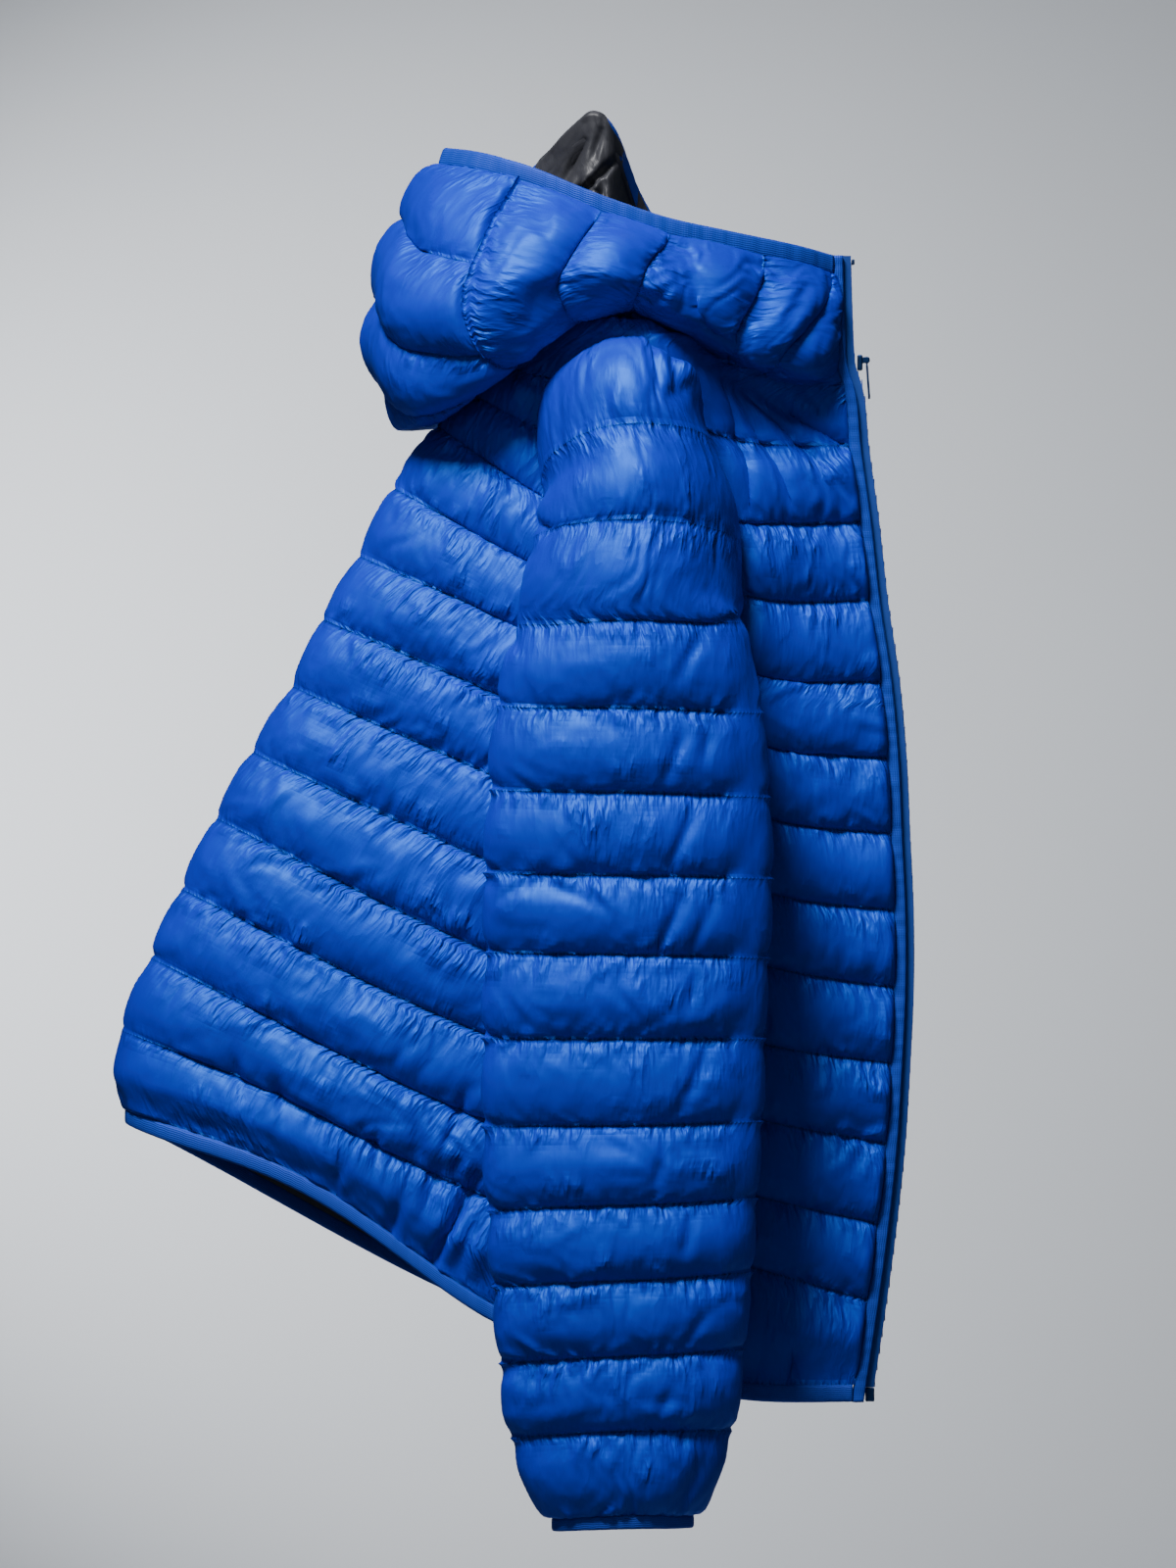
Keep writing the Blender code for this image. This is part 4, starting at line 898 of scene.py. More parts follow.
def teeth_finish(colour):
    """Satin nylon coil."""
    made = Finish("zip_coil", Base_Color=(*colour, 1.0), Roughness=0.35)
    place = made.add("ShaderNodeTexCoord", output="Object")
    broad = made.noise(place, 300.0)
    tone = made.mix(broad, shade(colour, 0.8), shade(colour, 1.3))
    return made.feed(Base_Color=tone, Roughness=broad * 0.15 + 0.28)


def metal_finish(colour):
    """Dark enamelled zip metal, lighter and darker in random patches."""
    made = Finish("zip_metal", Base_Color=(*colour, 1.0), Roughness=0.35, Metallic=0.9)
    place = made.add("ShaderNodeTexCoord", output="Object")
    broad = made.noise(place, 220.0)
    fine = made.noise(place, 1500.0, 2.0)
    tone = made.mix(broad, shade(colour, 0.8), shade(colour, 1.8))
    return made.feed(Base_Color=tone, Roughness=fine * 0.2 + 0.26, Normal=made.bump(fine, 0.00005, 0.3))


# --- panels ------------------------------------------------------------------------------------------------------
BAND_SIDES, BAND_THICKNESS = 20, 4.2
WELD = 1e-6
LAP = 0.4                    # a binding laps over the panel that it edges
LINING_LAP = 0.8             # the lining laps over the seams at its ends
SHELL_LIFT = 3.2             # height of the sewn shell over the lining
SHELL_FILL = {"across": 0.05, "down": 0.045, "push": 0.10, "droop": 0.02, "stiff": 0.02, "crown": 11.0}
PUCKER_LEAN = 0.45           # sideways lean of the creases
PUCKER_LEAN_RUN, PUCKER_LEAN_ROUNDS = 120.0, 20
PUCKER_PATCH, PUCKER_PATCH_ROUNDS = 60.0, 40         # size of the patches where they run deeper or less deep
PUCKER_PATCH_CONTRAST, PUCKER_PATCH_LIMITS = 0.6, (0.15, 2.2)
PUCKER_HIGHEST, PUCKER_MEAN = 2.2, 0.8               # of a crease, before its depth is applied
PUCKER_END_FADE, PUCKER_LINE_FADE = 8.0, 4.0         # they fade at a channel's ends and at its stitch lines
GATHER_PATCHES = [
    # width, weight
    (9.0, 0.5), (28.0, 0.6),
]
GATHER_PATCH_DOWN, GATHER_REACH = 14.0, 8.0
PUCKERS = [
    # width, length, reach from the stitch line, depth, share left in the middle of a channel
    (3.0, 6.0, 7.0, 0.55, 0.04),
    (5.5, 11.0, 11.0, 0.8, 0.10),
    (12.0, 20.0, 22.0, 0.8, 0.34),
]
ARCH_POWER = 0.9             # shape of a channel's cross-section
THREAD_FIRM, BIAS_FIRM = 0.9, 0.25                   # how firmly threads, and diagonals, keep their length
FACING_EVERY, FACING_LEAN = 8, 0.6                   # rounds between two looks at where the cloth faces
LINING_LIFT = 0.3            # height of the sewn lining over the panel's inside
BACK_COLUMNS, FRONT_COLUMNS, SLEEVE_CLOTH_COLUMNS = 160, 90, 200     # columns of each panel's cloth, half the back's
HOOD_SIDE_GRID, HOOD_CENTRE_HALF, PEAK_GRID = (120, 170), 50, (110, 130)
LOWEST = 0.5                 # cloth that isn't sewn down never comes nearer to its base
LINING_FILL = {"across": 0.05, "down": 0.03, "push": 0.05, "droop": 0.02, "stiff": 0.02, "crown": 3.0}
FOLDED_LIFT = 6.0            # the stitch lines stand this much higher where a panel turns its edge to the side
FLAT_SIDE, FLAT_LIFT, FLAT_CROWN = 70.0, 3.8, 3.2    # x beyond which a sleeve is flatter, and by how much
FLAT_SMOOTH, FOLDED_SMOOTH = 0.85, 0.6               # share of the puckers that is missing there
CAP_CROWN = 5.5              # the sleeve head stands this much lower
HEM_LIFT, HEM_CROWN = 2.8, 4.2
UNDER_HOOD_CROWN, HOOD_CROWN = 4.5, 11.0
BACK_NODES = ("back_upper", "back_middle", "back_lower")
SLEEVE_PARTS = ("head", "arm", "forearm")
HOOD_DENSITY = 10            # rows and columns of the hood's own grid in a step and a rib
HOOD_SIDE_LINES = [
    # share of the panel's columns, rib at the rim, rib at the sag
    (0.0, 5.0, 5.0), (0.2, 8.3, 6.8), (0.38, 11.6, 8.8), (0.66, 16.5, 14.6), (0.86, 21.6, 17.0), (1.0, 22.0, 22.0),
]
HOOD_CENTRE_LINES = [
    # share of the panel's rows, share of the way down at its middle, and at its side seams
    (0.0, 0.0, 0.0), (0.25, 0.15, 0.31), (0.5, 0.35, 0.58), (0.75, 0.56, 0.76), (1.0, 1.0, 1.0),
]
STAND_STEPS, RIM_STEPS = 3, 3.5      # steps above the neck seam, and below the rim, where the down is lower
HOOD_SIDE_RIM = 0.75         # share that the side panels' down is lower at the rim
HOOD_SEAM_LIFT = 6.2         # the seams between its panels lie less deep
HOOD_BAND_LEAN = 1.2         # share of the panel's slope in the binding above it, behind an x
LEAN_X, LEAN_FADE, LEAN_ROWS = -45.0, 30.0, 6        # that x, and the grid rows that the slope is read over
HOOD_FOLDS = [
    # rib, down, rib, down, half width in ribs, depth
    (8.8, 0.1, 6.4, 0.62, 1.1, 7.0),
    (12.4, 0.12, 13.4, 0.75, 1.2, 8.0),
    (16.8, 0.15, 15.4, 0.7, 1.0, 6.0),
    (20.2, 0.3, 17.6, 0.62, 0.9, 4.0),
    (0.0, 0.34, 3.6, 0.5, 1.1, 5.0),
    (0.6, 0.66, 4.2, 0.72, 1.1, 5.0),
]
NEAR_HOOD_FOLDS = [
    (13.2, 0.12, 12.4, 0.42, 0.5, 6.0),
    (12.4, 0.42, 13.2, 0.68, 0.7, 10.0),
    (12.8, 0.22, 10.4, 0.5, 0.3, 3.5),
    (18.4, 0.2, 16.4, 0.55, 0.4, 3.5),
    (20.6, 0.3, 18.4, 0.6, 0.3, 3.0),
    (6.2, 0.1, 7.6, 0.4, 0.4, 2.5),
    (2.0, 0.12, 3.4, 0.3, 0.5, 3.0),
]
FAR_HOOD_FOLDS = [
    (7.6, 0.02, 6.2, 0.4, 0.3, 3.5),
    (8.1, 0.0, 7.4, 0.45, 0.25, 3.0),
    (8.6, 0.02, 8.6, 0.4, 0.3, 4.0),
    (9.1, 0.0, 9.8, 0.45, 0.25, 3.0),
    (9.5, 0.05, 11.0, 0.4, 0.3, 3.5),
    (6.8, 0.28, 9.6, 0.16, 0.35, 3.0),
]
PEAK_FACING = (-42.0, 50.0)      # x between which the lining is rolled out over the rim
PEAK_BARE = (8.0, 19.0)          # x between which it stops short of the binding's top
PEAK_TOP = 0.18                  # its top, where 0 is the rim and -1 its lower end
PEAK_HANG, PEAK_SLACK, PEAK_TUCK = 62.0, 5.0, 15.0
PEAK_OVER = 14.0                 # steepness of its lean out over the binding, which is 2.8 at its top
PEAK_CRUMPLE = [
    # rounds of evening out, depth
    (6, 1.1), (14, 2.8), (34, 3.2),
]
PEAK_CRUMPLE_DEEPEST = 7.0
PEAK_CREASES = [
    # x, z of its ends, half width, depth
    (-12, -53, 16, -27, 2.5, 7),
    (4, -36, 8, -60, 2.5, 4),
    (-4, -18, -18, -44, 2.5, 4),
    (6, -12, 0, -30, 2.5, 3),
]
CREASE_START, CREASE_RUN = 0.15, 0.7                 # the part of a half wave that a crease's depth follows
BACK_CREASES = [
    # x, z of its ends, half width, depth
    (-65, -617, -92, -669, 4.5, 8),
    (-88, -612, -96, -640, 4, 3.5),
    (-78, -598, -74, -632, 4, 3),
    (-108, -628, -116, -655, 4, 3.5),
    (-122, -588, -124, -612, 4, 3),
    (-101, -583, -98, -606, 4, 3),
    (-70, -566, -84, -600, 4, 3.5),
    (-140, -605, -146, -624, 4, 2.5),
    (-180, -560, -176, -585, 4, 2.5),
    (-206, -540, -200, -572, 4, 2.5),
    (-66, -640, -74, -668, 4, 3),
]
FRONT_CREASES = [
    # x, z of its ends, half width, depth
    (75, -148, 132, -206, 4.5, 6),
    (78, -150, 150, -196, 4.5, 6),
    (80, -152, 112, -222, 4.5, 5),
    (76, -150, 92, -228, 4.5, 4.5),
    (74, -230, 80, -262, 5, 2.5),
    (116, -718, 117, -742, 4, 4),
]
SLEEVE_CREASES = [
    # x, z of its ends, half width, depth, which is below 0 where the crease is raised
    (35, -136, 35, -172, 3.5, 4),
    (46, -136, 45, -172, 3.5, 4),
    (40, -138, 40, -172, 2.4, -4.5),
    (39, -173, 52, -166, 4, 3),
    (60, -305, 47, -330, 3.5, 2.5),
    (50, -364, 42, -386, 3.5, 3),
    (63, -362, 60, -378, 3, 2),
    (58, -404, 44, -436, 3.5, 3),
    (52, -452, 38, -484, 3.5, 3),
    (64, -460, 56, -484, 3, 2),
    (58, -500, 54, -516, 3.5, 2.5),
    (62, -546, 48, -574, 3.5, 2.5),
    (40, -600, 34, -622, 3.5, 2),
    (54, -640, 50, -656, 3.5, 2.5),
    (62, -690, 52, -706, 3, 2),
    (44, -734, 36, -752, 3.5, 2),
    (58, -774, 46, -796, 3.5, 2.5),
    (-30, -228, -18, -250, 3.5, 3.5),
    (-38, -240, -24, -262, 3.5, 3),
    (-44, -300, -30, -318, 3.5, 3),
]
TEETH_ACROSS = (1.8, 4.9)
TOOTH_Y, TOOTH_DEPTH, TOOTH_SHARE = 0.72, 1.1, 0.44  # the last is the share of the pitch that a tooth fills
ROD_INSET, ROD_Y, ROD_WIDTH, ROD_DEPTH = 0.35, 1.05, 0.5, 0.4
ROD_TEETH = 4                # teeth joined by one length of the rods behind them
SLIDER_LOW, ZIP_BOX_HEIGHT, STOP_DROP = -151.5, 8.0, 3.5
VIEW_CENTRE = (-0.0017, -0.392)


def density():
    """Rows in a channel, the share of the full number of columns and the cloth solver's rounds."""
    settings = bpy.context.scene.jacket_quilting
    return ((settings.channel_rows, 1.0, settings.rounds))


def seam_nearness(held, reach):
    """1 on a seam, falling off over some rows and columns."""
    field = held.astype(float)
    for _ in range(reach):
        field = np.maximum(field, blurred(field, 1) * 0.97)
    return field


def held_rows(rows, columns, every, edges=True):
    held = np.zeros((rows, columns), bool)
    held[::every] = True
    held[-1] = True
    if edges:
        held[:, 0] = held[:, -1] = True
    return held


def drawn_in(place, creases):
    """How deep creases draw a surface in at each place. Each runs from one place to another and fades at its ends."""
    drawn = np.zeros(place.shape[:2])
    for x0, y0, x1, y1, width, depth in creases:
        start = np.array([x0, y0])
        line = np.array([x1, y1]) - start
        along = np.clip(((place - start) @ line) / (line @ line), 0.0, 1.0)
        gap = np.linalg.norm(place - start - along[..., None] * line, axis=-1) / width
        swell = np.sin(np.pi * (CREASE_START + CREASE_RUN * along))
        drawn = np.maximum(drawn, depth * np.exp(-(gap**2)) * swell)
    return drawn


def creased(points, out, creases):
    """Draw a surface in along creases that are given by x and z."""
    return points - out * drawn_in(points[..., [0, 2]], creases)[..., None]


def uneven(points, out, seed, amount):
    """Soft hollows and swells of a slack panel."""
    rng = np.random.default_rng(seed)
    rows, columns = points.shape[:2]
    coarse = blurred(rng.standard_normal((rows // 6 + 2, columns // 6 + 2)), 3)
    coarse /= np.abs(coarse).max()
    i, j = np.linspace(0, coarse.shape[0] - 1.001, rows), np.linspace(0, coarse.shape[1] - 1.001, columns)
    field = sampled(coarse[..., None], i[:, None] * np.ones(columns), j * np.ones((rows, 1)))[..., 0]
    field = blurred(field, 12)
    i, j = np.arange(rows), np.arange(columns)
    edge = ease(np.minimum(i, rows - 1 - i) / 9.0)[:, None] * ease(np.minimum(j, columns - 1 - j) / 9.0)
    return points + out * (field * edge * amount)[..., None]


def cut_size(base, filling):
    """Width, length and area of a panel's cloth before it was sewn down, in metres."""
    wide, long = 1.0 + filling["across"], 1.0 + filling["down"]
    width = np.linalg.norm(np.diff(base, axis=1), axis=-1).sum(1).max() * wide * MM
    length = np.linalg.norm(np.diff(base, axis=0), axis=-1).sum(0).max() * long * MM
    across, down = base[:-1, 1:] - base[:-1, :-1], base[1:, :-1] - base[:-1, :-1]
    area = np.linalg.norm(np.cross(across, down), axis=-1).sum() * wide * long * MM * MM
    return (float(width), float(length)), float(min(area, width * length))


def quilted(name, base, out, held, nodes, seed, lines, crown, lift=SHELL_LIFT, axis=0, smooth_share=0.0):
    """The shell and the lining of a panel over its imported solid, quilted along some of its rows, or columns."""
    _, _, rounds = density()
    lift = lift * np.ones(held.shape)
    crown = lift + np.maximum(crown - lift, 0.0) * channel_arch(held.shape, lines, axis)
    filling = dict(SHELL_FILL, crown=crown.astype(np.float32))
    points = puffed(base, out, held, lift, filling, seed, rounds)
    steps = [float(np.linalg.norm(np.diff(base, axis=k), axis=-1).mean()) for k in (axis, 1 - axis)]
    creased_share = (1.0 - FLAT_SMOOTH * smooth_share) * (1.0 - FOLDED_SMOOTH * out[..., 0] ** 2)
    points = points + out * (puckers(held.shape, lines, steps, seed + 5, axis) * creased_share)[..., None]
    drawn = drawn_share(held.shape, lines, steps, seed + 6, axis) * creased_share
    # the seam field also sets the painted shade along the shell's stitch lines
    fields = {"seam": seam_nearness(held, 3), "drawn": drawn}
    shell = cloth_piece(f"{name}_shell", points, fields, finish_of("shell"), out, axis)
    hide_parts(*nodes)
    flat, area = cut_size(base, SHELL_FILL)
    thin = (slice(None, None, 2), slice(None, None, 2))
    inner, facing, kept = base[thin].copy(), -out[thin], held[thin].copy()
    kept[:, [0, -1]] = True
    kept[[0, -1]] = True
    for edge, beside in ((0, 1), (-1, -2)):
        inner[edge] += unit(inner[edge] - inner[beside]) * LINING_LAP
    flat, area = cut_size(inner, LINING_FILL)
    inner = puffed(inner, facing, kept, LINING_LIFT, LINING_FILL, seed + 1, rounds // 2)
    # its seam field sets the painted shade along the lining's stitch lines
    lining = cloth_piece(
        f"{name}_lining", inner, {"seam": seam_nearness(kept, 2)}, finish_of("lining"), facing, axis
    )


def finish_of(slot):
    """The finish of a material slot, made once."""
    names = {
        "shell": ("shell_nylon", shell_finish),
        "lining": ("lining_taffeta", lining_finish),
        "binding": ("stretch_binding", binding_finish),
        "tape": ("zip_tape_weave", tape_finish),
        "teeth": ("zip_coil", teeth_finish),
        "metal": ("zip_metal", metal_finish),
    }
    name, make = names[slot]
    colours = bpy.context.scene.jacket_colours
    return bpy.data.materials.get(name) or make(tuple(getattr(colours, slot)))


def back_grid(rows, columns, near):
    """Half the back, from the fold to the side seam."""
    return np.array(
        [even_line(lambda x: body_line(r, x, near), fold_x(r), back_edge_x(r), columns) for r in rows]
    )


def body_rows():
    channel_rows, _, _ = density()
    return np.linspace(0.0, HEM_ROW, HEM_ROW * channel_rows + 1)


def edge_lift(out):
    """The stitch lines lie less deep where the folded panel turns its edge to the side."""
    return SHELL_LIFT + FOLDED_LIFT * np.abs(out[..., 0]) ** 2


def body_crown(base, rows):
    """Highest the down may stand: less under the hood's sag and at the hem, and none at the armhole."""
    full = SHELL_FILL["crown"]
    crown = np.interp(rows, [0.8, 1.3, HEM_ROW - 0.5, HEM_ROW], [UNDER_HOOD_CROWN, full, full, HEM_CROWN])[:, None]
    crown = crown * np.ones(base.shape[1])
    for i, row in enumerate(rows):
        if row <= ARMHOLE_LOW_ROW + 1:
            x = base[i, :, 0]
            away = np.minimum(np.abs(x - back_edge_x(row)), np.abs(x - front_edge_x(row)))
            crown[i] = SHELL_LIFT + (crown[i] - SHELL_LIFT) * ease(away / ARMHOLE_FADE)
    return crown


def make_back():
    channel_rows, share, _ = density()
    rows = body_rows()
    columns = int(BACK_COLUMNS * share)
    near, far = back_grid(rows, columns, True), back_grid(rows, columns, False)
    base = np.concatenate([near[:, ::-1], mirrored(far[:, 1:])], axis=1)
    out = -grid_normals(base)
    crown = body_crown(base, rows)
    base = creased(uneven(base, out, 11, 2.0), out, BACK_CREASES)
    held = held_rows(*base.shape[:2], channel_rows)
    lines = range(0, len(rows), channel_rows)
    lift = np.minimum(edge_lift(out), crown)
    lift[:, [0, -1]] = SHELL_LIFT
    lift[-1] = HEM_LIFT
    quilted("back", base, out, held, BACK_NODES, 11, lines, crown, lift)


def make_fronts():
    channel_rows, share, _ = density()
    rows = body_rows()
    columns = int(FRONT_COLUMNS * share)
    base = np.array([even_line(lambda x: body_line(r, x), front_edge_x(r), panel_edge_x(r), columns) for r in rows])
    out = grid_normals(base)
    out[:, -1] = (0.0, -1.0, 0.0)
    crown = body_crown(base, rows)
    held = held_rows(*base.shape[:2], channel_rows)
    for side, name, seed in ((1.0, "front_right", 21), (-1.0, "front_left", 31)):
        turned = np.array([1.0, side, 1.0])
        points = creased(uneven(base, out, seed, 1.8), out, FRONT_CREASES)
        lines = range(0, len(rows), channel_rows)
        quilted(name, points * turned, out * turned, held, (name,), seed, lines, crown)


def sleeve_grid():
    channel_rows, share, _ = density()
    rows = np.linspace(0, len(SLEEVE_ROWS) * SOLID_ROWS, len(SLEEVE_ROWS) * channel_rows + 1)
    columns = np.linspace(0, SLEEVE_COLUMNS, int(SLEEVE_CLOTH_COLUMNS * share))
    return respaced(refined(sleeve_surface(), rows, columns))


def make_sleeves():
    channel_rows, _, _ = density()
    base = sleeve_grid()
    out = grid_normals(base, SLEEVE_CLOSED_SEAM * channel_rows)
    held = held_rows(*base.shape[:2], channel_rows)
    lines = range(0, len(base), channel_rows)
    flat = ease((base[..., 0] - FLAT_SIDE) / 15.0)
    lift = np.maximum(edge_lift(out), SHELL_LIFT + FLAT_LIFT * flat)
    cap = 1.0 - ease(np.arange(len(base)) / (2.0 * channel_rows))[:, None]
    crown = SHELL_FILL["crown"] - FLAT_CROWN * flat - CAP_CROWN * cap
    lift[:, [0, -1]] = SHELL_LIFT
    lift[-1] = HEM_LIFT
    open_rows = slice(0, SLEEVE_CLOSED_SEAM * channel_rows)
    lift[open_rows, [0]] = lift[open_rows, [-1]] = lift[0] = -SHELL_LIFT
    for side, name, seed in ((1.0, "sleeve_right", 41), (-1.0, "sleeve_left", 51)):
        turned = np.array([1.0, side, 1.0])
        points = creased(uneven(base, out, seed, 2.2), out, SLEEVE_CREASES)
        nodes = [f"{name}_{part}" for part in SLEEVE_PARTS]
        quilted(name, points * turned, out * turned, held, nodes, seed, lines, crown, lift, smooth_share=flat)


def hood_half(near):
    """Half the hood on a dense grid of its own ribs and steps, with the outward directions."""
    count = HOOD_DENSITY
    steps = np.linspace(0, HOOD_STEPS, HOOD_STEPS * count + 1)
    ribs = np.linspace(0, HOOD_RIB_COUNT, HOOD_RIB_COUNT * count + 1)
    grid = refined(hood_surface(near), steps, ribs)
    along, across = np.gradient(grid, axis=0), np.gradient(grid, axis=1)
    across[:, 0] = (0.0, -1.0 if near else 1.0, 0.0)
    out = unit(np.cross(along, across)) * (1.0 if near else -1.0)
    _, level = neck_points()
    level = read_at(ribs, np.arange(HOOD_RIB_COUNT + 1), level)
    level = level if near else mirrored(level)
    blend = ease(np.linspace(HOOD_STEPS, 0.0, len(steps)) / 1.0)[:, None, None]
    out = unit(out * blend + level * (1.0 - blend))
    out[:, -1] = (0.0, -1.0 if near else 1.0, 0.0)
    return grid, out


def fold_depth(rib, step, folds):
    """How deep the hood's folds draw it in at each place."""
    folds = [(rib_a, a * HOOD_STEPS, rib_b, b * HOOD_STEPS, *rest) for rib_a, a, rib_b, b, *rest in folds]
    return drawn_in(np.stack([rib, step], axis=-1), folds)


def hood_panel(near, ribs, steps):
    """Points, directions and drawn-in folds of a part of the hood."""
    grid, out = hood_half(near)
    i, j = steps * HOOD_DENSITY, ribs * HOOD_DENSITY
    points, facing = sampled(grid, i, j), unit(sampled(out, i, j))
    fade = ease((HOOD_STEPS - STAND_STEPS - steps) / 1.5) * ease(steps / 1.0) * ease((HOOD_RIB_COUNT - ribs) / 1.0)
    folds = HOOD_FOLDS + (NEAR_HOOD_FOLDS if near else FAR_HOOD_FOLDS)
    return points - facing * (fold_depth(ribs, steps, folds) * fade)[..., None], facing


def hood_crown(steps, rim=0.0):
    """The hood's down stands lower on its flat turn above the neck seam, and on the side panels under the rim."""
    share = 0.35 + 0.65 * ease((HOOD_STEPS - STAND_STEPS + 0.5 - steps) / 2.0)
    share = share * (1.0 - rim * (1.0 - ease(steps / RIM_STEPS)))
    return SHELL_LIFT + (HOOD_CROWN - SHELL_LIFT) * share


def make_hood():
    _, share, _ = density()
    rows, columns = (int(count * share) for count in HOOD_SIDE_GRID)
    first = CENTRE_SEAM_RIB
    place = np.linspace(0.0, 1.0, columns)
    down = np.linspace(0.0, 1.0, rows)[:, None]
    steps = down * HOOD_STEPS * np.ones(columns)
    knots = np.array(HOOD_SIDE_LINES)
    at_rim, at_sag = (smooth(knots[:, 0], knots[:, k], place) for k in (1, 2))
    ribs = at_rim + (at_sag - at_rim) * ease(down / 0.8)
    held = held_rows(rows, columns, rows)
    lines = [int(round(share * (columns - 1))) for share in knots[:, 0]]
    held[:, lines] = True
    for near, name, seed in ((True, "hood_side_right", 61), (False, "hood_side_left", 71)):
        points, out = hood_panel(near, ribs, steps)
        points = uneven(points, out, seed, 1.6)
        lift = np.full(held.shape, SHELL_LIFT)
        lift[:, 0] = HOOD_SEAM_LIFT
        quilted(name, points, out, held, (name,), seed, lines, hood_crown(steps, HOOD_SIDE_RIM), lift, axis=1)
    half = int(HOOD_CENTRE_HALF * share)
    inward = np.linspace(first, 0.0, half)
    knots = np.array(HOOD_CENTRE_LINES)
    at_middle, at_seam = (smooth(knots[:, 0], knots[:, k], down) for k in (1, 2))
    steps = (at_middle + (at_seam - at_middle) * (inward / first) ** 1.3) * HOOD_STEPS
    near_points, near_out = hood_panel(True, inward * np.ones_like(down), steps)
    far_points, far_out = hood_panel(False, inward[::-1] * np.ones_like(down), steps[:, ::-1])
    points = np.concatenate([near_points, far_points[:, 1:]], axis=1)
    out = np.concatenate([near_out, far_out[:, 1:]], axis=1)
    held = held_rows(rows, 2 * half - 1, rows)
    lines = [int(round(share * (rows - 1))) for share in knots[:, 0]]
    held[lines] = True
    steps = np.concatenate([steps, steps[:, -2::-1]], axis=1)
    lift = np.full(held.shape, SHELL_LIFT)
    lift[:, [0, -1]] = HOOD_SEAM_LIFT
    quilted("hood_centre", points, out, held, ("hood_centre",), 81, lines, hood_crown(steps), lift)
    make_peak_facing()


def make_peak_facing():
    """The lining where the rim is drawn up to the peak: rolled out over the binding and hanging slack inside."""
    _, share, _ = density()
    grid, out = hood_half(False)
    x = grid[0, :, 0]
    first, last = int(np.argmax(x > PEAK_FACING[0])), int(np.argmax(x > PEAK_FACING[1]))
    rows, columns = (int(count * share) for count in PEAK_GRID)
    ribs = np.linspace(first, last, columns) * np.ones((rows, 1))
    rim = sampled(grid, np.zeros_like(ribs), ribs)
    facing = unit(sampled(out, np.zeros_like(ribs), ribs) * (1.0, 1.0, 0.0))
    place = np.linspace(0.0, 1.0, columns)
    drawn, slack = within(place, 0.0, 1.0, 0.12), within(place, 0.0, 1.0, 0.3)
    bared = within(rim[0, :, 0], *PEAK_BARE, 5.0)
    reach = HOOD_BINDING + 0.9 - 1.5 * bared
    rise = np.linspace(-1.0, PEAK_TOP, rows)[:, None]
    lift = np.where(rise < 0, rise * (3.0 + PEAK_HANG * slack), rise / PEAK_TOP * (reach * drawn))
    over = np.clip(rise / PEAK_TOP - 0.8, 0.0, 1.0) * PEAK_OVER * drawn * (1.0 - bared) - 1.5 - 1.7 * bared
    over = over - PEAK_SLACK * slack * ease(-rise)
    over = over + PEAK_TUCK * slack * ease((-rise - 0.62) / 0.38)
    rng = np.random.default_rng(75)
    crumple = np.zeros((rows, columns))
    for wide, deep in PEAK_CRUMPLE:
        field = smeared(smeared(rng.standard_normal((rows, columns)), 1, wide), 0, 4 * wide)
        crumple += deep * np.abs(field / field.std())
    crumple = -np.minimum(crumple * 0.55, PEAK_CRUMPLE_DEEPEST) * drawn * (0.22 + 0.78 * ease((-0.2 - rise) / 0.45))
    points = rim + np.array([0.0, 0.0, 1.0]) * lift[..., None] + facing * (over + crumple)[..., None]
    points = creased(points, -facing, PEAK_CREASES)
    fields = {"seam": np.zeros(points.shape[:2])}
    piece = cloth_piece("hood_peak_facing", points, fields, finish_of("lining"), -facing)
    flat, area = cut_size(points, LINING_FILL)


# --- bindings ----------------------------------------------------------------------------------------------------
def gathers(count, seed, amount):
    """Uneven fine ripples of a drawn-up elastic."""
    rng = np.random.default_rng(seed)
    run = np.arange(count)
    swell = np.sin(run * 1.15 + 2.0 * np.sin(run * 0.11)) + 0.7 * np.sin(run * 0.53 + 1.0)
    return amount * (swell + rng.standard_normal(count) * 0.5)


def evenly(points, spacing):
    """A line of points read at even distances."""
    at = distances(points)
    return read_at(np.linspace(0.0, at[-1], max(int(at[-1] / spacing), 8)), at, points)


def band(name, node, path, along, out, size, seed, slot="binding", closed=False):
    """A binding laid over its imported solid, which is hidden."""
    piece = band_piece(
        name, path, along, out, size, finish_of(slot), gathers(len(path), seed, 0.03), closed
    )
    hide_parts(node)


def make_bindings():
    _, share, _ = density()
    spacing = 1.6 / share
    near, near_out = hood_half(True)
    far, far_out = hood_half(False)
    rim = np.concatenate([near[0, ::-1], far[0, 1:]])
    out = np.concatenate([near_out[0, ::-1], far_out[0, 1:]])
    path, at = evenly(rim, spacing), distances(rim)
    wanted = np.linspace(0.0, at[-1], len(path))
    facing = unit(read_at(wanted, at, out))
    up = np.concatenate([near[0, ::-1] - near[LEAN_ROWS, ::-1], (far[0] - far[LEAN_ROWS])[1:]])
    up = unit(read_at(wanted, at, up))
    up = unit(up * HOOD_BAND_LEAN * ease((LEAN_X - path[:, :1]) / LEAN_FADE) + (0.0, 0.0, 1.0))
    facing = unit(facing - up * (facing * up).sum(-1, keepdims=True))
    size = (HOOD_BINDING + LAP, BAND_THICKNESS)
    band("hood_binding_band", "hood_binding", path - up * LAP, up, facing, size, 91)
    make_hem_band(spacing)
    make_cuff_bands(spacing)
    make_placket_bands(spacing)


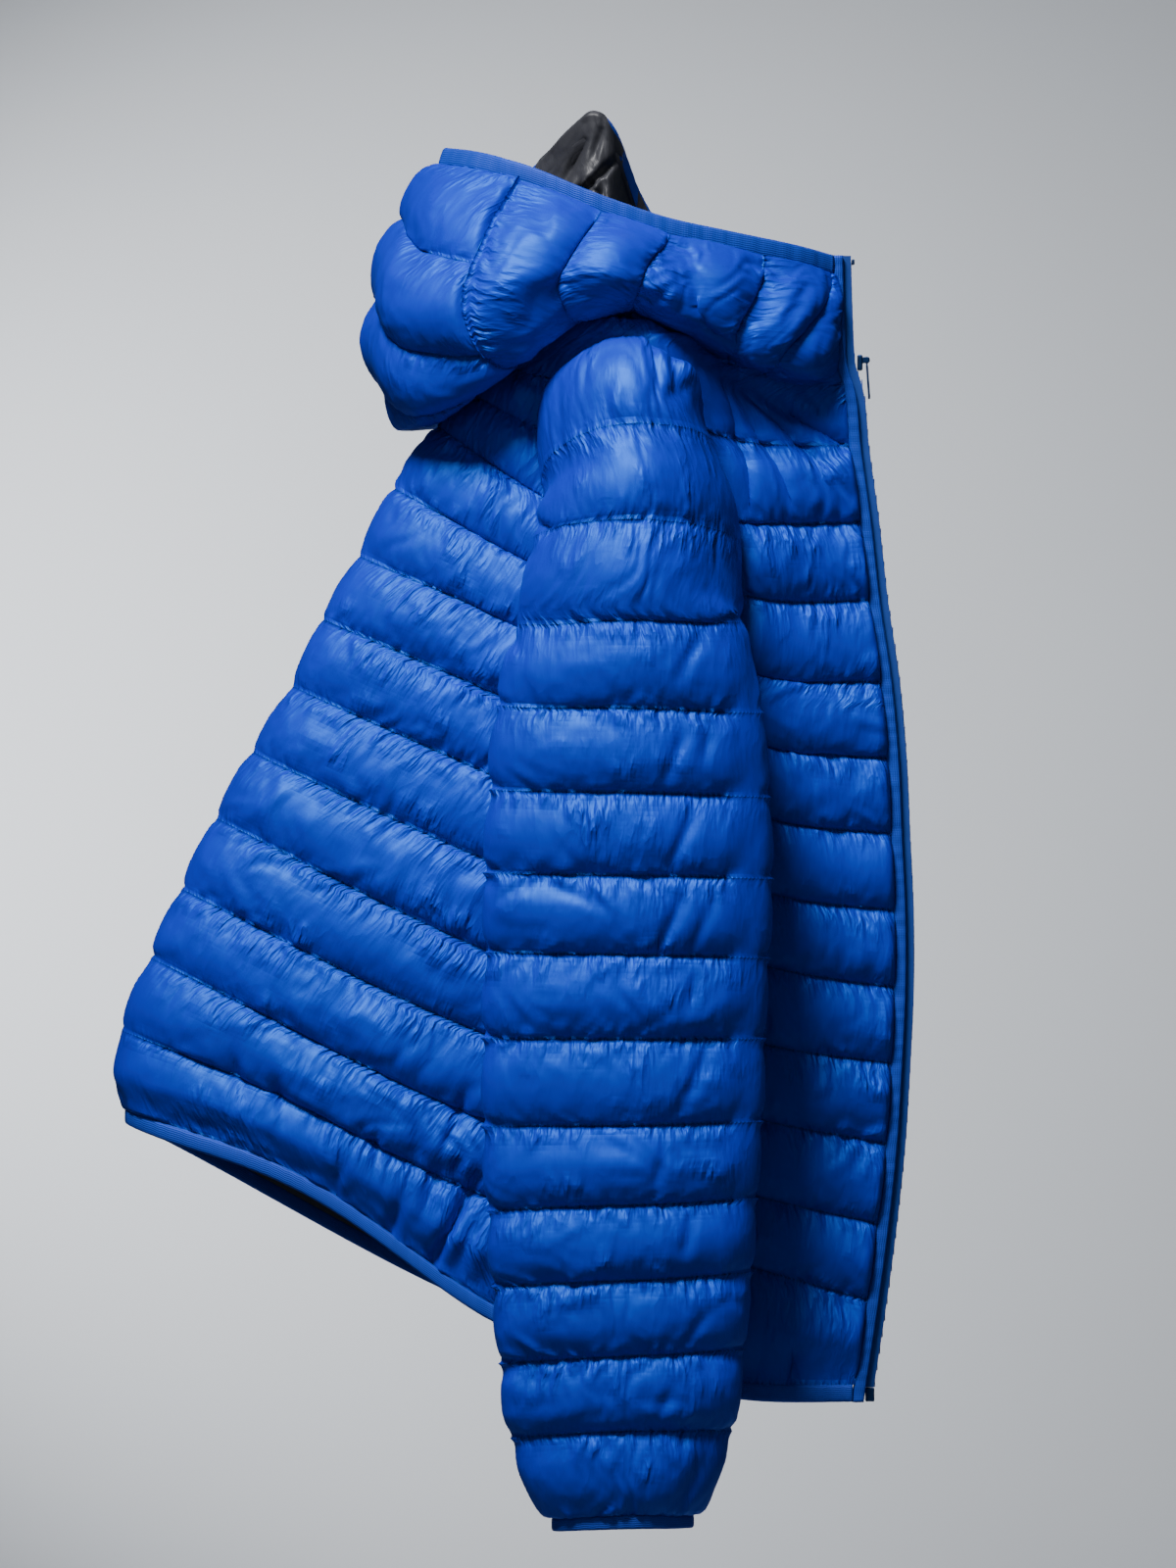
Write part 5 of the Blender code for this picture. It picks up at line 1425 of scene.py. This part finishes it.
def make_hem_band(spacing):
    row = float(HEM_ROW)
    start = float(beside_placket(BODY[-1, 8] - HEM_BINDING))
    lines, outs = [], []
    for near in (True, False):
        line = evenly(even_line(lambda x: body_line(row, x, near), fold_x(row), start, 900), spacing)
        out = np.array([body_normal(row, min(max(x, fold_x(row) + 0.6), start), near) for x in line[:, 0]])
        out[0] = (-1.0, 0.0, 0.0)
        lines.append(line if near else mirrored(line))
        outs.append(out if near else mirrored(out))
    path = np.concatenate([lines[0][::-1], lines[1][1:]])
    out = np.concatenate([outs[0][::-1], outs[1][1:]])
    down = np.array([0.0, 0.0, -1.0]) * np.ones_like(path)
    size = (HEM_BINDING + LAP, BAND_THICKNESS)
    band("hem_binding_band", "hem_binding", path - down * LAP, down, out, size, 92)


def make_cuff_bands(spacing):
    base = sleeve_surface()
    columns = np.linspace(0, SLEEVE_COLUMNS, 400)
    low = refined(base[-6:], np.array([4.0, 5.0]), columns)
    out = grid_normals(low, 0)[-1]
    ring = low[-1]
    at = distances(ring)
    wanted = np.linspace(0.0, at[-1], int(at[-1] / spacing))
    ring, out = read_at(wanted, at, ring), unit(read_at(wanted, at, out))
    down = np.array([0.0, 0.0, -1.0]) * np.ones_like(ring)
    ring = ring - down * LAP
    size = (CUFF_BINDING + LAP, BAND_THICKNESS)
    band("cuff_right_band", "cuff_right", ring, down, out, size, 93, closed=True)
    band("cuff_left_band", "cuff_left", mirrored(ring), down, mirrored(out), size, 94, closed=True)


def make_placket_bands(spacing):
    top, low = HOOD_RIBS[-1][1][2] + HOOD_BINDING, BODY[-1, 8] - HEM_BINDING
    z = np.linspace(top, low, int((top - low) / spacing))
    path = np.stack([beside_placket(z) - LAP, np.full_like(z, -PLACKET_IN), z], axis=-1)
    across = np.array([1.0, 0.0, 0.0]) * np.ones_like(path)
    out = np.array([0.0, -1.0, 0.0]) * np.ones_like(path)
    size = (PLACKET_WIDTH + PANEL_INSET + LAP, PLACKET_OUT - PLACKET_IN)
    band("placket_right_band", "placket_right", path, across, out, size, 95)
    band("placket_left_band", "placket_left", mirrored(path), across, mirrored(out), size, 96)


# --- zip ---------------------------------------------------------------------------------------------------------
def tooth(bm, place, size, lean):
    matrix = Matrix.Translation(Vector(place) * MM) @ Matrix.Rotation(lean, 4, "Y") @ Matrix.Diagonal(
        (size[0] * MM, size[1] * MM, size[2] * MM, 1.0)
    )
    bmesh.ops.create_cube(bm, size=1.0, matrix=matrix)


def make_zip():
    """The coil's teeth, side by side below the slider and parted above it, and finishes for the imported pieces."""
    settings = bpy.context.scene.jacket_zip
    pitch = settings.pitch / MM
    near, far = TEETH_ACROSS
    middle, width = (near + far) / 2, far - near
    low, top = BODY[-1, 8] - HEM_BINDING + ZIP_BOX_HEIGHT + SEAM_GAP, HOOD_RIBS[-1][1][2] + HOOD_BINDING - STOP_DROP
    for name, node, start, end, sides in (
        ("zip_coil_closed", "zip_teeth", low, SLIDER_LOW - SEAM_GAP, (-1.0, 1.0)),
        ("zip_coil_right", "zip_teeth_right", SLIDER_LOW, top, (-1.0,)),
        ("zip_coil_left", "zip_teeth_left", SLIDER_LOW, top, (1.0,)),
    ):
        bm = bmesh.new()
        count = int((end - start) / pitch)
        for side in sides:
            for k in range(count):
                z = start + (k + (0.25 if side < 0 else 0.75)) * (end - start) / count
                lean = float(edge_curve(z - 1.0) - edge_curve(z + 1.0)) / 2.0
                x = float(edge_curve(z)) + middle
                tooth(bm, (x, side * TOOTH_Y, z), (width, TOOTH_DEPTH, pitch * TOOTH_SHARE), -math.atan(lean))
            for edge in (near + ROD_INSET, far - ROD_INSET):
                for k in range(0, count, ROD_TEETH):
                    z0 = start + k * (end - start) / count
                    z1 = start + min(k + ROD_TEETH, count) * (end - start) / count
                    z = (z0 + z1) / 2
                    x = float(edge_curve(z)) + edge
                    tooth(bm, (x, side * ROD_Y, z), (ROD_WIDTH, ROD_DEPTH, z1 - z0), 0.0)
        bmesh.ops.bevel(
            bm, geom=bm.edges[:], offset=settings.rounding, segments=1, affect="EDGES", profile=0.5, material=-1
        )
        piece = laid(name, bm, finish_of("teeth"))
        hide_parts(node)
    for node in ("zip_tape_right", "zip_tape_left"):
        dressed(node, "tape")
    for node in ("zip_slider", "zip_pull", "zip_box", "zip_stop_right", "zip_stop_left"):
        dressed(node, "metal")


def dressed(node, slot):
    """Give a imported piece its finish."""
    for material_slot in bpy.data.objects[node].material_slots:
        material_slot.material = finish_of(slot)


# --- stage -------------------------------------------------------------------------------------------------------
STAGE_MIDDLE = (0.0, 0.0, -0.4)
LAMPS = [
    # place, target, size: key, wall, back, front
    ((-0.85, -1.8, 2.6), STAGE_MIDDLE, 1.1),
    ((-2.7, 4.6, -0.22), (-0.05, 7.0, -0.42), 0.5),
    ((0.9, 3.6, 1.4), STAGE_MIDDLE, 2.0),
    ((-0.5, -3.0, 0.4), STAGE_MIDDLE, 1.8),
]
KEY_COLOUR, WALL_COLOUR = (1.0, 0.99, 0.98), (0.96, 0.97, 1.0)
BACK_COLOUR, FRONT_COLOUR = (0.90, 0.95, 1.0), (0.80, 0.90, 1.0)
SKY_COLOUR = (0.60, 0.75, 1.0, 1.0)
SWEEP_HALF_WIDTH, SWEEP_START, SWEEP_FLOOR, SWEEP_RADIUS, SWEEP_RISE = 9.0, -8.0, 13.6, 1.4, 16.0
SWEEP_FLAT, SWEEP_TURN = 0.45, 0.3       # shares of the sweep's rows on the floor and in its turn
SWEEP_COLOUR = (0.62, 0.64, 0.66, 1.0)
SWEEP_TONES = ((0.60, 0.62, 0.64, 1.0), (0.65, 0.67, 0.69, 1.0))


def light(name, place, target, size, power, colour, cone=None, blend=0.6):
    """A round soft light turned to a target, or with a cone a lamp that lights nothing beside it."""
    data = bpy.data.lights.new(name, "SPOT" if cone else "AREA")
    data.energy, data.color = power, colour
    if cone:
        data.shadow_soft_size, data.spot_size, data.spot_blend = size / 2, cone, blend
    else:
        data.shape, data.size = "DISK", size
    lamp = bpy.data.objects.new(name, data)
    lamp.location = place
    lamp.rotation_euler = (Vector(target) - Vector(place)).to_track_quat("-Z", "Y").to_euler()
    bpy.context.scene.collection.objects.link(lamp)


def make_stage():
    scene = bpy.context.scene
    settings = scene.jacket_stage
    camera = bpy.data.objects.new("camera", bpy.data.cameras.new("camera"))
    camera.location = (VIEW_CENTRE[0], -settings.distance, VIEW_CENTRE[1])
    camera.rotation_euler = (math.pi / 2, 0.0, 0.0)
    camera.data.lens = camera.data.sensor_width * settings.distance / settings.frame_height
    scene.collection.objects.link(camera)
    scene.camera = camera
    key, lit_wall, back, front = LAMPS
    light("key", *key, settings.key_power, KEY_COLOUR, settings.key_cone)
    light("wall", *lit_wall, settings.wall_power, WALL_COLOUR, settings.wall_cone, 1.0)
    light("back", *back, settings.back_power, BACK_COLOUR)
    light("front", *front, settings.fill_power, FRONT_COLOUR)
    world = bpy.data.worlds.new("studio")
    scene.world = world
    world.use_nodes = True
    world.node_tree.nodes["Background"].inputs["Color"].default_value = SKY_COLOUR
    world.node_tree.nodes["Background"].inputs["Strength"].default_value = settings.ambient
    bm = bmesh.new()
    bmesh.ops.create_grid(bm, x_segments=2, y_segments=48, size=1.0)
    for vert in bm.verts:
        x, run = vert.co.x * SWEEP_HALF_WIDTH, (vert.co.y + 1.0) / 2.0
        turn = min(max((run - SWEEP_FLAT) / SWEEP_TURN, 0.0), 1.0) * math.pi / 2
        y = SWEEP_START + min(run, SWEEP_FLAT) / SWEEP_FLAT * SWEEP_FLOOR + SWEEP_RADIUS * math.sin(turn)
        z = settings.floor_height + SWEEP_RADIUS * (1.0 - math.cos(turn))
        vert.co = (x, y, z + max(run - (SWEEP_FLAT + SWEEP_TURN), 0.0) * SWEEP_RISE)
    bmesh.ops.recalc_face_normals(bm, faces=bm.faces[:])
    mesh = bpy.data.meshes.new("sweep")
    bm.to_mesh(mesh)
    bm.free()
    mesh.shade_smooth()
    made = Finish("paper_sweep", Base_Color=SWEEP_COLOUR, Roughness=0.9)
    place = made.add("ShaderNodeTexCoord", output="Object")
    broad = made.noise(place, 1.2, 2.0)
    mesh.materials.append(made.feed(Base_Color=made.mix(broad, *SWEEP_TONES)))
    sweep = bpy.data.objects.new("sweep", mesh)
    scene.collection.objects.link(sweep)


# --- add-on ------------------------------------------------------------------------------------------------------
class JacketQuilting(bpy.types.PropertyGroup):
    """How finely the cloth is worked out."""

    channel_rows: IntProperty(
        name="Rows per channel", description="Rows of the cloth's grid between two quilting seams", default=18, min=6
    )
    rounds: IntProperty(
        name="Rounds", description="Rounds in which the down pushes and the cloth's threads pull back", default=180
    )


class JacketColours(bpy.types.PropertyGroup):
    """Base colour of each material slot."""

    shell: FloatVectorProperty(
        name="Shell", description="Nylon shell", subtype="COLOR", default=(0.008, 0.020, 0.42), min=0, max=1
    )
    lining: FloatVectorProperty(
        name="Lining", description="Taffeta lining", subtype="COLOR", default=(0.030, 0.031, 0.038), min=0, max=1
    )
    binding: FloatVectorProperty(
        name="Binding", description="Stretch edge binding", subtype="COLOR", default=(0.010, 0.050, 0.42), min=0, max=1
    )
    tape: FloatVectorProperty(
        name="Tape", description="Zip tape", subtype="COLOR", default=(0.005, 0.050, 0.30), min=0, max=1
    )
    teeth: FloatVectorProperty(
        name="Teeth", description="Zip coil", subtype="COLOR", default=(0.005, 0.050, 0.30), min=0, max=1
    )
    metal: FloatVectorProperty(
        name="Metal", description="Slider, pull and stops", subtype="COLOR", default=(0.010, 0.030, 0.10), min=0, max=1
    )


class JacketZip(bpy.types.PropertyGroup):
    """Sizes of the zip's coil."""

    pitch: FloatProperty(
        name="Pitch", description="From one tooth of a row to the next", default=0.0024, unit="LENGTH", precision=4
    )
    rounding: FloatProperty(
        name="Rounding", description="Bevel of each tooth", default=0.00016, unit="LENGTH", precision=5
    )


class JacketStage(bpy.types.PropertyGroup):
    """Camera, floor and lights."""

    distance: FloatProperty(
        name="Distance", description="From the camera to the jacket's middle", default=5.0, unit="LENGTH"
    )
    frame_height: FloatProperty(
        name="Frame height", description="Height that the view takes in at the jacket", default=0.912, unit="LENGTH"
    )
    floor_height: FloatProperty(name="Floor", description="Height of the floor", default=-2.6, unit="LENGTH")
    key_power: FloatProperty(name="Key", description="Power of the main light", default=1250.0, unit="POWER")
    key_cone: FloatProperty(
        name="Key cone", description="Width of the main light's cone", default=0.48, subtype="ANGLE"
    )
    wall_power: FloatProperty(name="Wall", description="Power of the wall's light", default=1250.0, unit="POWER")
    wall_cone: FloatProperty(
        name="Wall cone", description="Width of the wall light's cone", default=0.95, subtype="ANGLE"
    )
    fill_power: FloatProperty(name="Fill", description="Power of the front light", default=8.0, unit="POWER")
    back_power: FloatProperty(name="Back", description="Power of the light behind", default=95.0, unit="POWER")
    ambient: FloatProperty(name="Ambient", description="Strength of the studio's even light", default=0.08)


class JACKET_OT_back(bpy.types.Operator):
    """Quilt the back"""

    bl_idname = "jacket.back"
    bl_label = "Back"
    bl_options = {"REGISTER", "UNDO"}

    def execute(self, context):
        make_back()
        return {"FINISHED"}


class JACKET_OT_fronts(bpy.types.Operator):
    """Quilt both fronts"""

    bl_idname = "jacket.fronts"
    bl_label = "Fronts"
    bl_options = {"REGISTER", "UNDO"}

    def execute(self, context):
        make_fronts()
        return {"FINISHED"}


class JACKET_OT_sleeves(bpy.types.Operator):
    """Quilt both sleeves"""

    bl_idname = "jacket.sleeves"
    bl_label = "Sleeves"
    bl_options = {"REGISTER", "UNDO"}

    def execute(self, context):
        make_sleeves()
        return {"FINISHED"}


class JACKET_OT_hood(bpy.types.Operator):
    """Quilt the hood's three panels"""

    bl_idname = "jacket.hood"
    bl_label = "Hood"
    bl_options = {"REGISTER", "UNDO"}

    def execute(self, context):
        make_hood()
        return {"FINISHED"}


class JACKET_OT_bindings(bpy.types.Operator):
    """Bind the rim, the hem, the cuffs and the front edges"""

    bl_idname = "jacket.bindings"
    bl_label = "Bindings"
    bl_options = {"REGISTER", "UNDO"}

    def execute(self, context):
        make_bindings()
        return {"FINISHED"}


class JACKET_OT_zip(bpy.types.Operator):
    """Make the zip's coil and finish its tapes and metal"""

    bl_idname = "jacket.zip"
    bl_label = "Zip"
    bl_options = {"REGISTER", "UNDO"}

    def execute(self, context):
        make_zip()
        return {"FINISHED"}


class JACKET_OT_stage(bpy.types.Operator):
    """Set up the camera, the floor and the lights"""

    bl_idname = "jacket.stage"
    bl_label = "Stage"
    bl_options = {"REGISTER", "UNDO"}

    def execute(self, context):
        make_stage()
        return {"FINISHED"}


class JACKET_PT_panel(bpy.types.Panel):
    """Jacket's settings and steps"""

    bl_label = "Jacket"
    bl_idname = "JACKET_PT_panel"
    bl_space_type = "VIEW_3D"
    bl_region_type = "UI"
    bl_category = "Jacket"

    def draw(self, context):
        for group in (
            context.scene.jacket_quilting,
            context.scene.jacket_colours,
            context.scene.jacket_zip,
            context.scene.jacket_stage,
        ):
            box = self.layout.box()
            for key in group.bl_rna.properties.keys():
                if key not in {"rna_type", "name"}:
                    box.prop(group, key)
        for operator in OPERATORS:
            self.layout.operator(operator.bl_idname)


GROUPS = {
    "jacket_quilting": JacketQuilting,
    "jacket_colours": JacketColours,
    "jacket_zip": JacketZip,
    "jacket_stage": JacketStage,
}
OPERATORS = (
    JACKET_OT_back,
    JACKET_OT_fronts,
    JACKET_OT_sleeves,
    JACKET_OT_hood,
    JACKET_OT_bindings,
    JACKET_OT_zip,
    JACKET_OT_stage,
)


def register():
    for kind in (*GROUPS.values(), *OPERATORS, JACKET_PT_panel):
        bpy.utils.register_class(kind)
    for name, group in GROUPS.items():
        setattr(bpy.types.Scene, name, PointerProperty(type=group))


def unregister():
    for name in GROUPS:
        delattr(bpy.types.Scene, name)
    for kind in (JACKET_PT_panel, *reversed(OPERATORS), *reversed(list(GROUPS.values()))):
        bpy.utils.unregister_class(kind)


def main():
    register()
    bpy.ops.jacket.stage()
    bpy.ops.jacket.back()
    bpy.ops.jacket.fronts()
    bpy.ops.jacket.sleeves()
    bpy.ops.jacket.hood()
    bpy.ops.jacket.bindings()
    bpy.ops.jacket.zip()


if __name__ == "__main__":
    main()
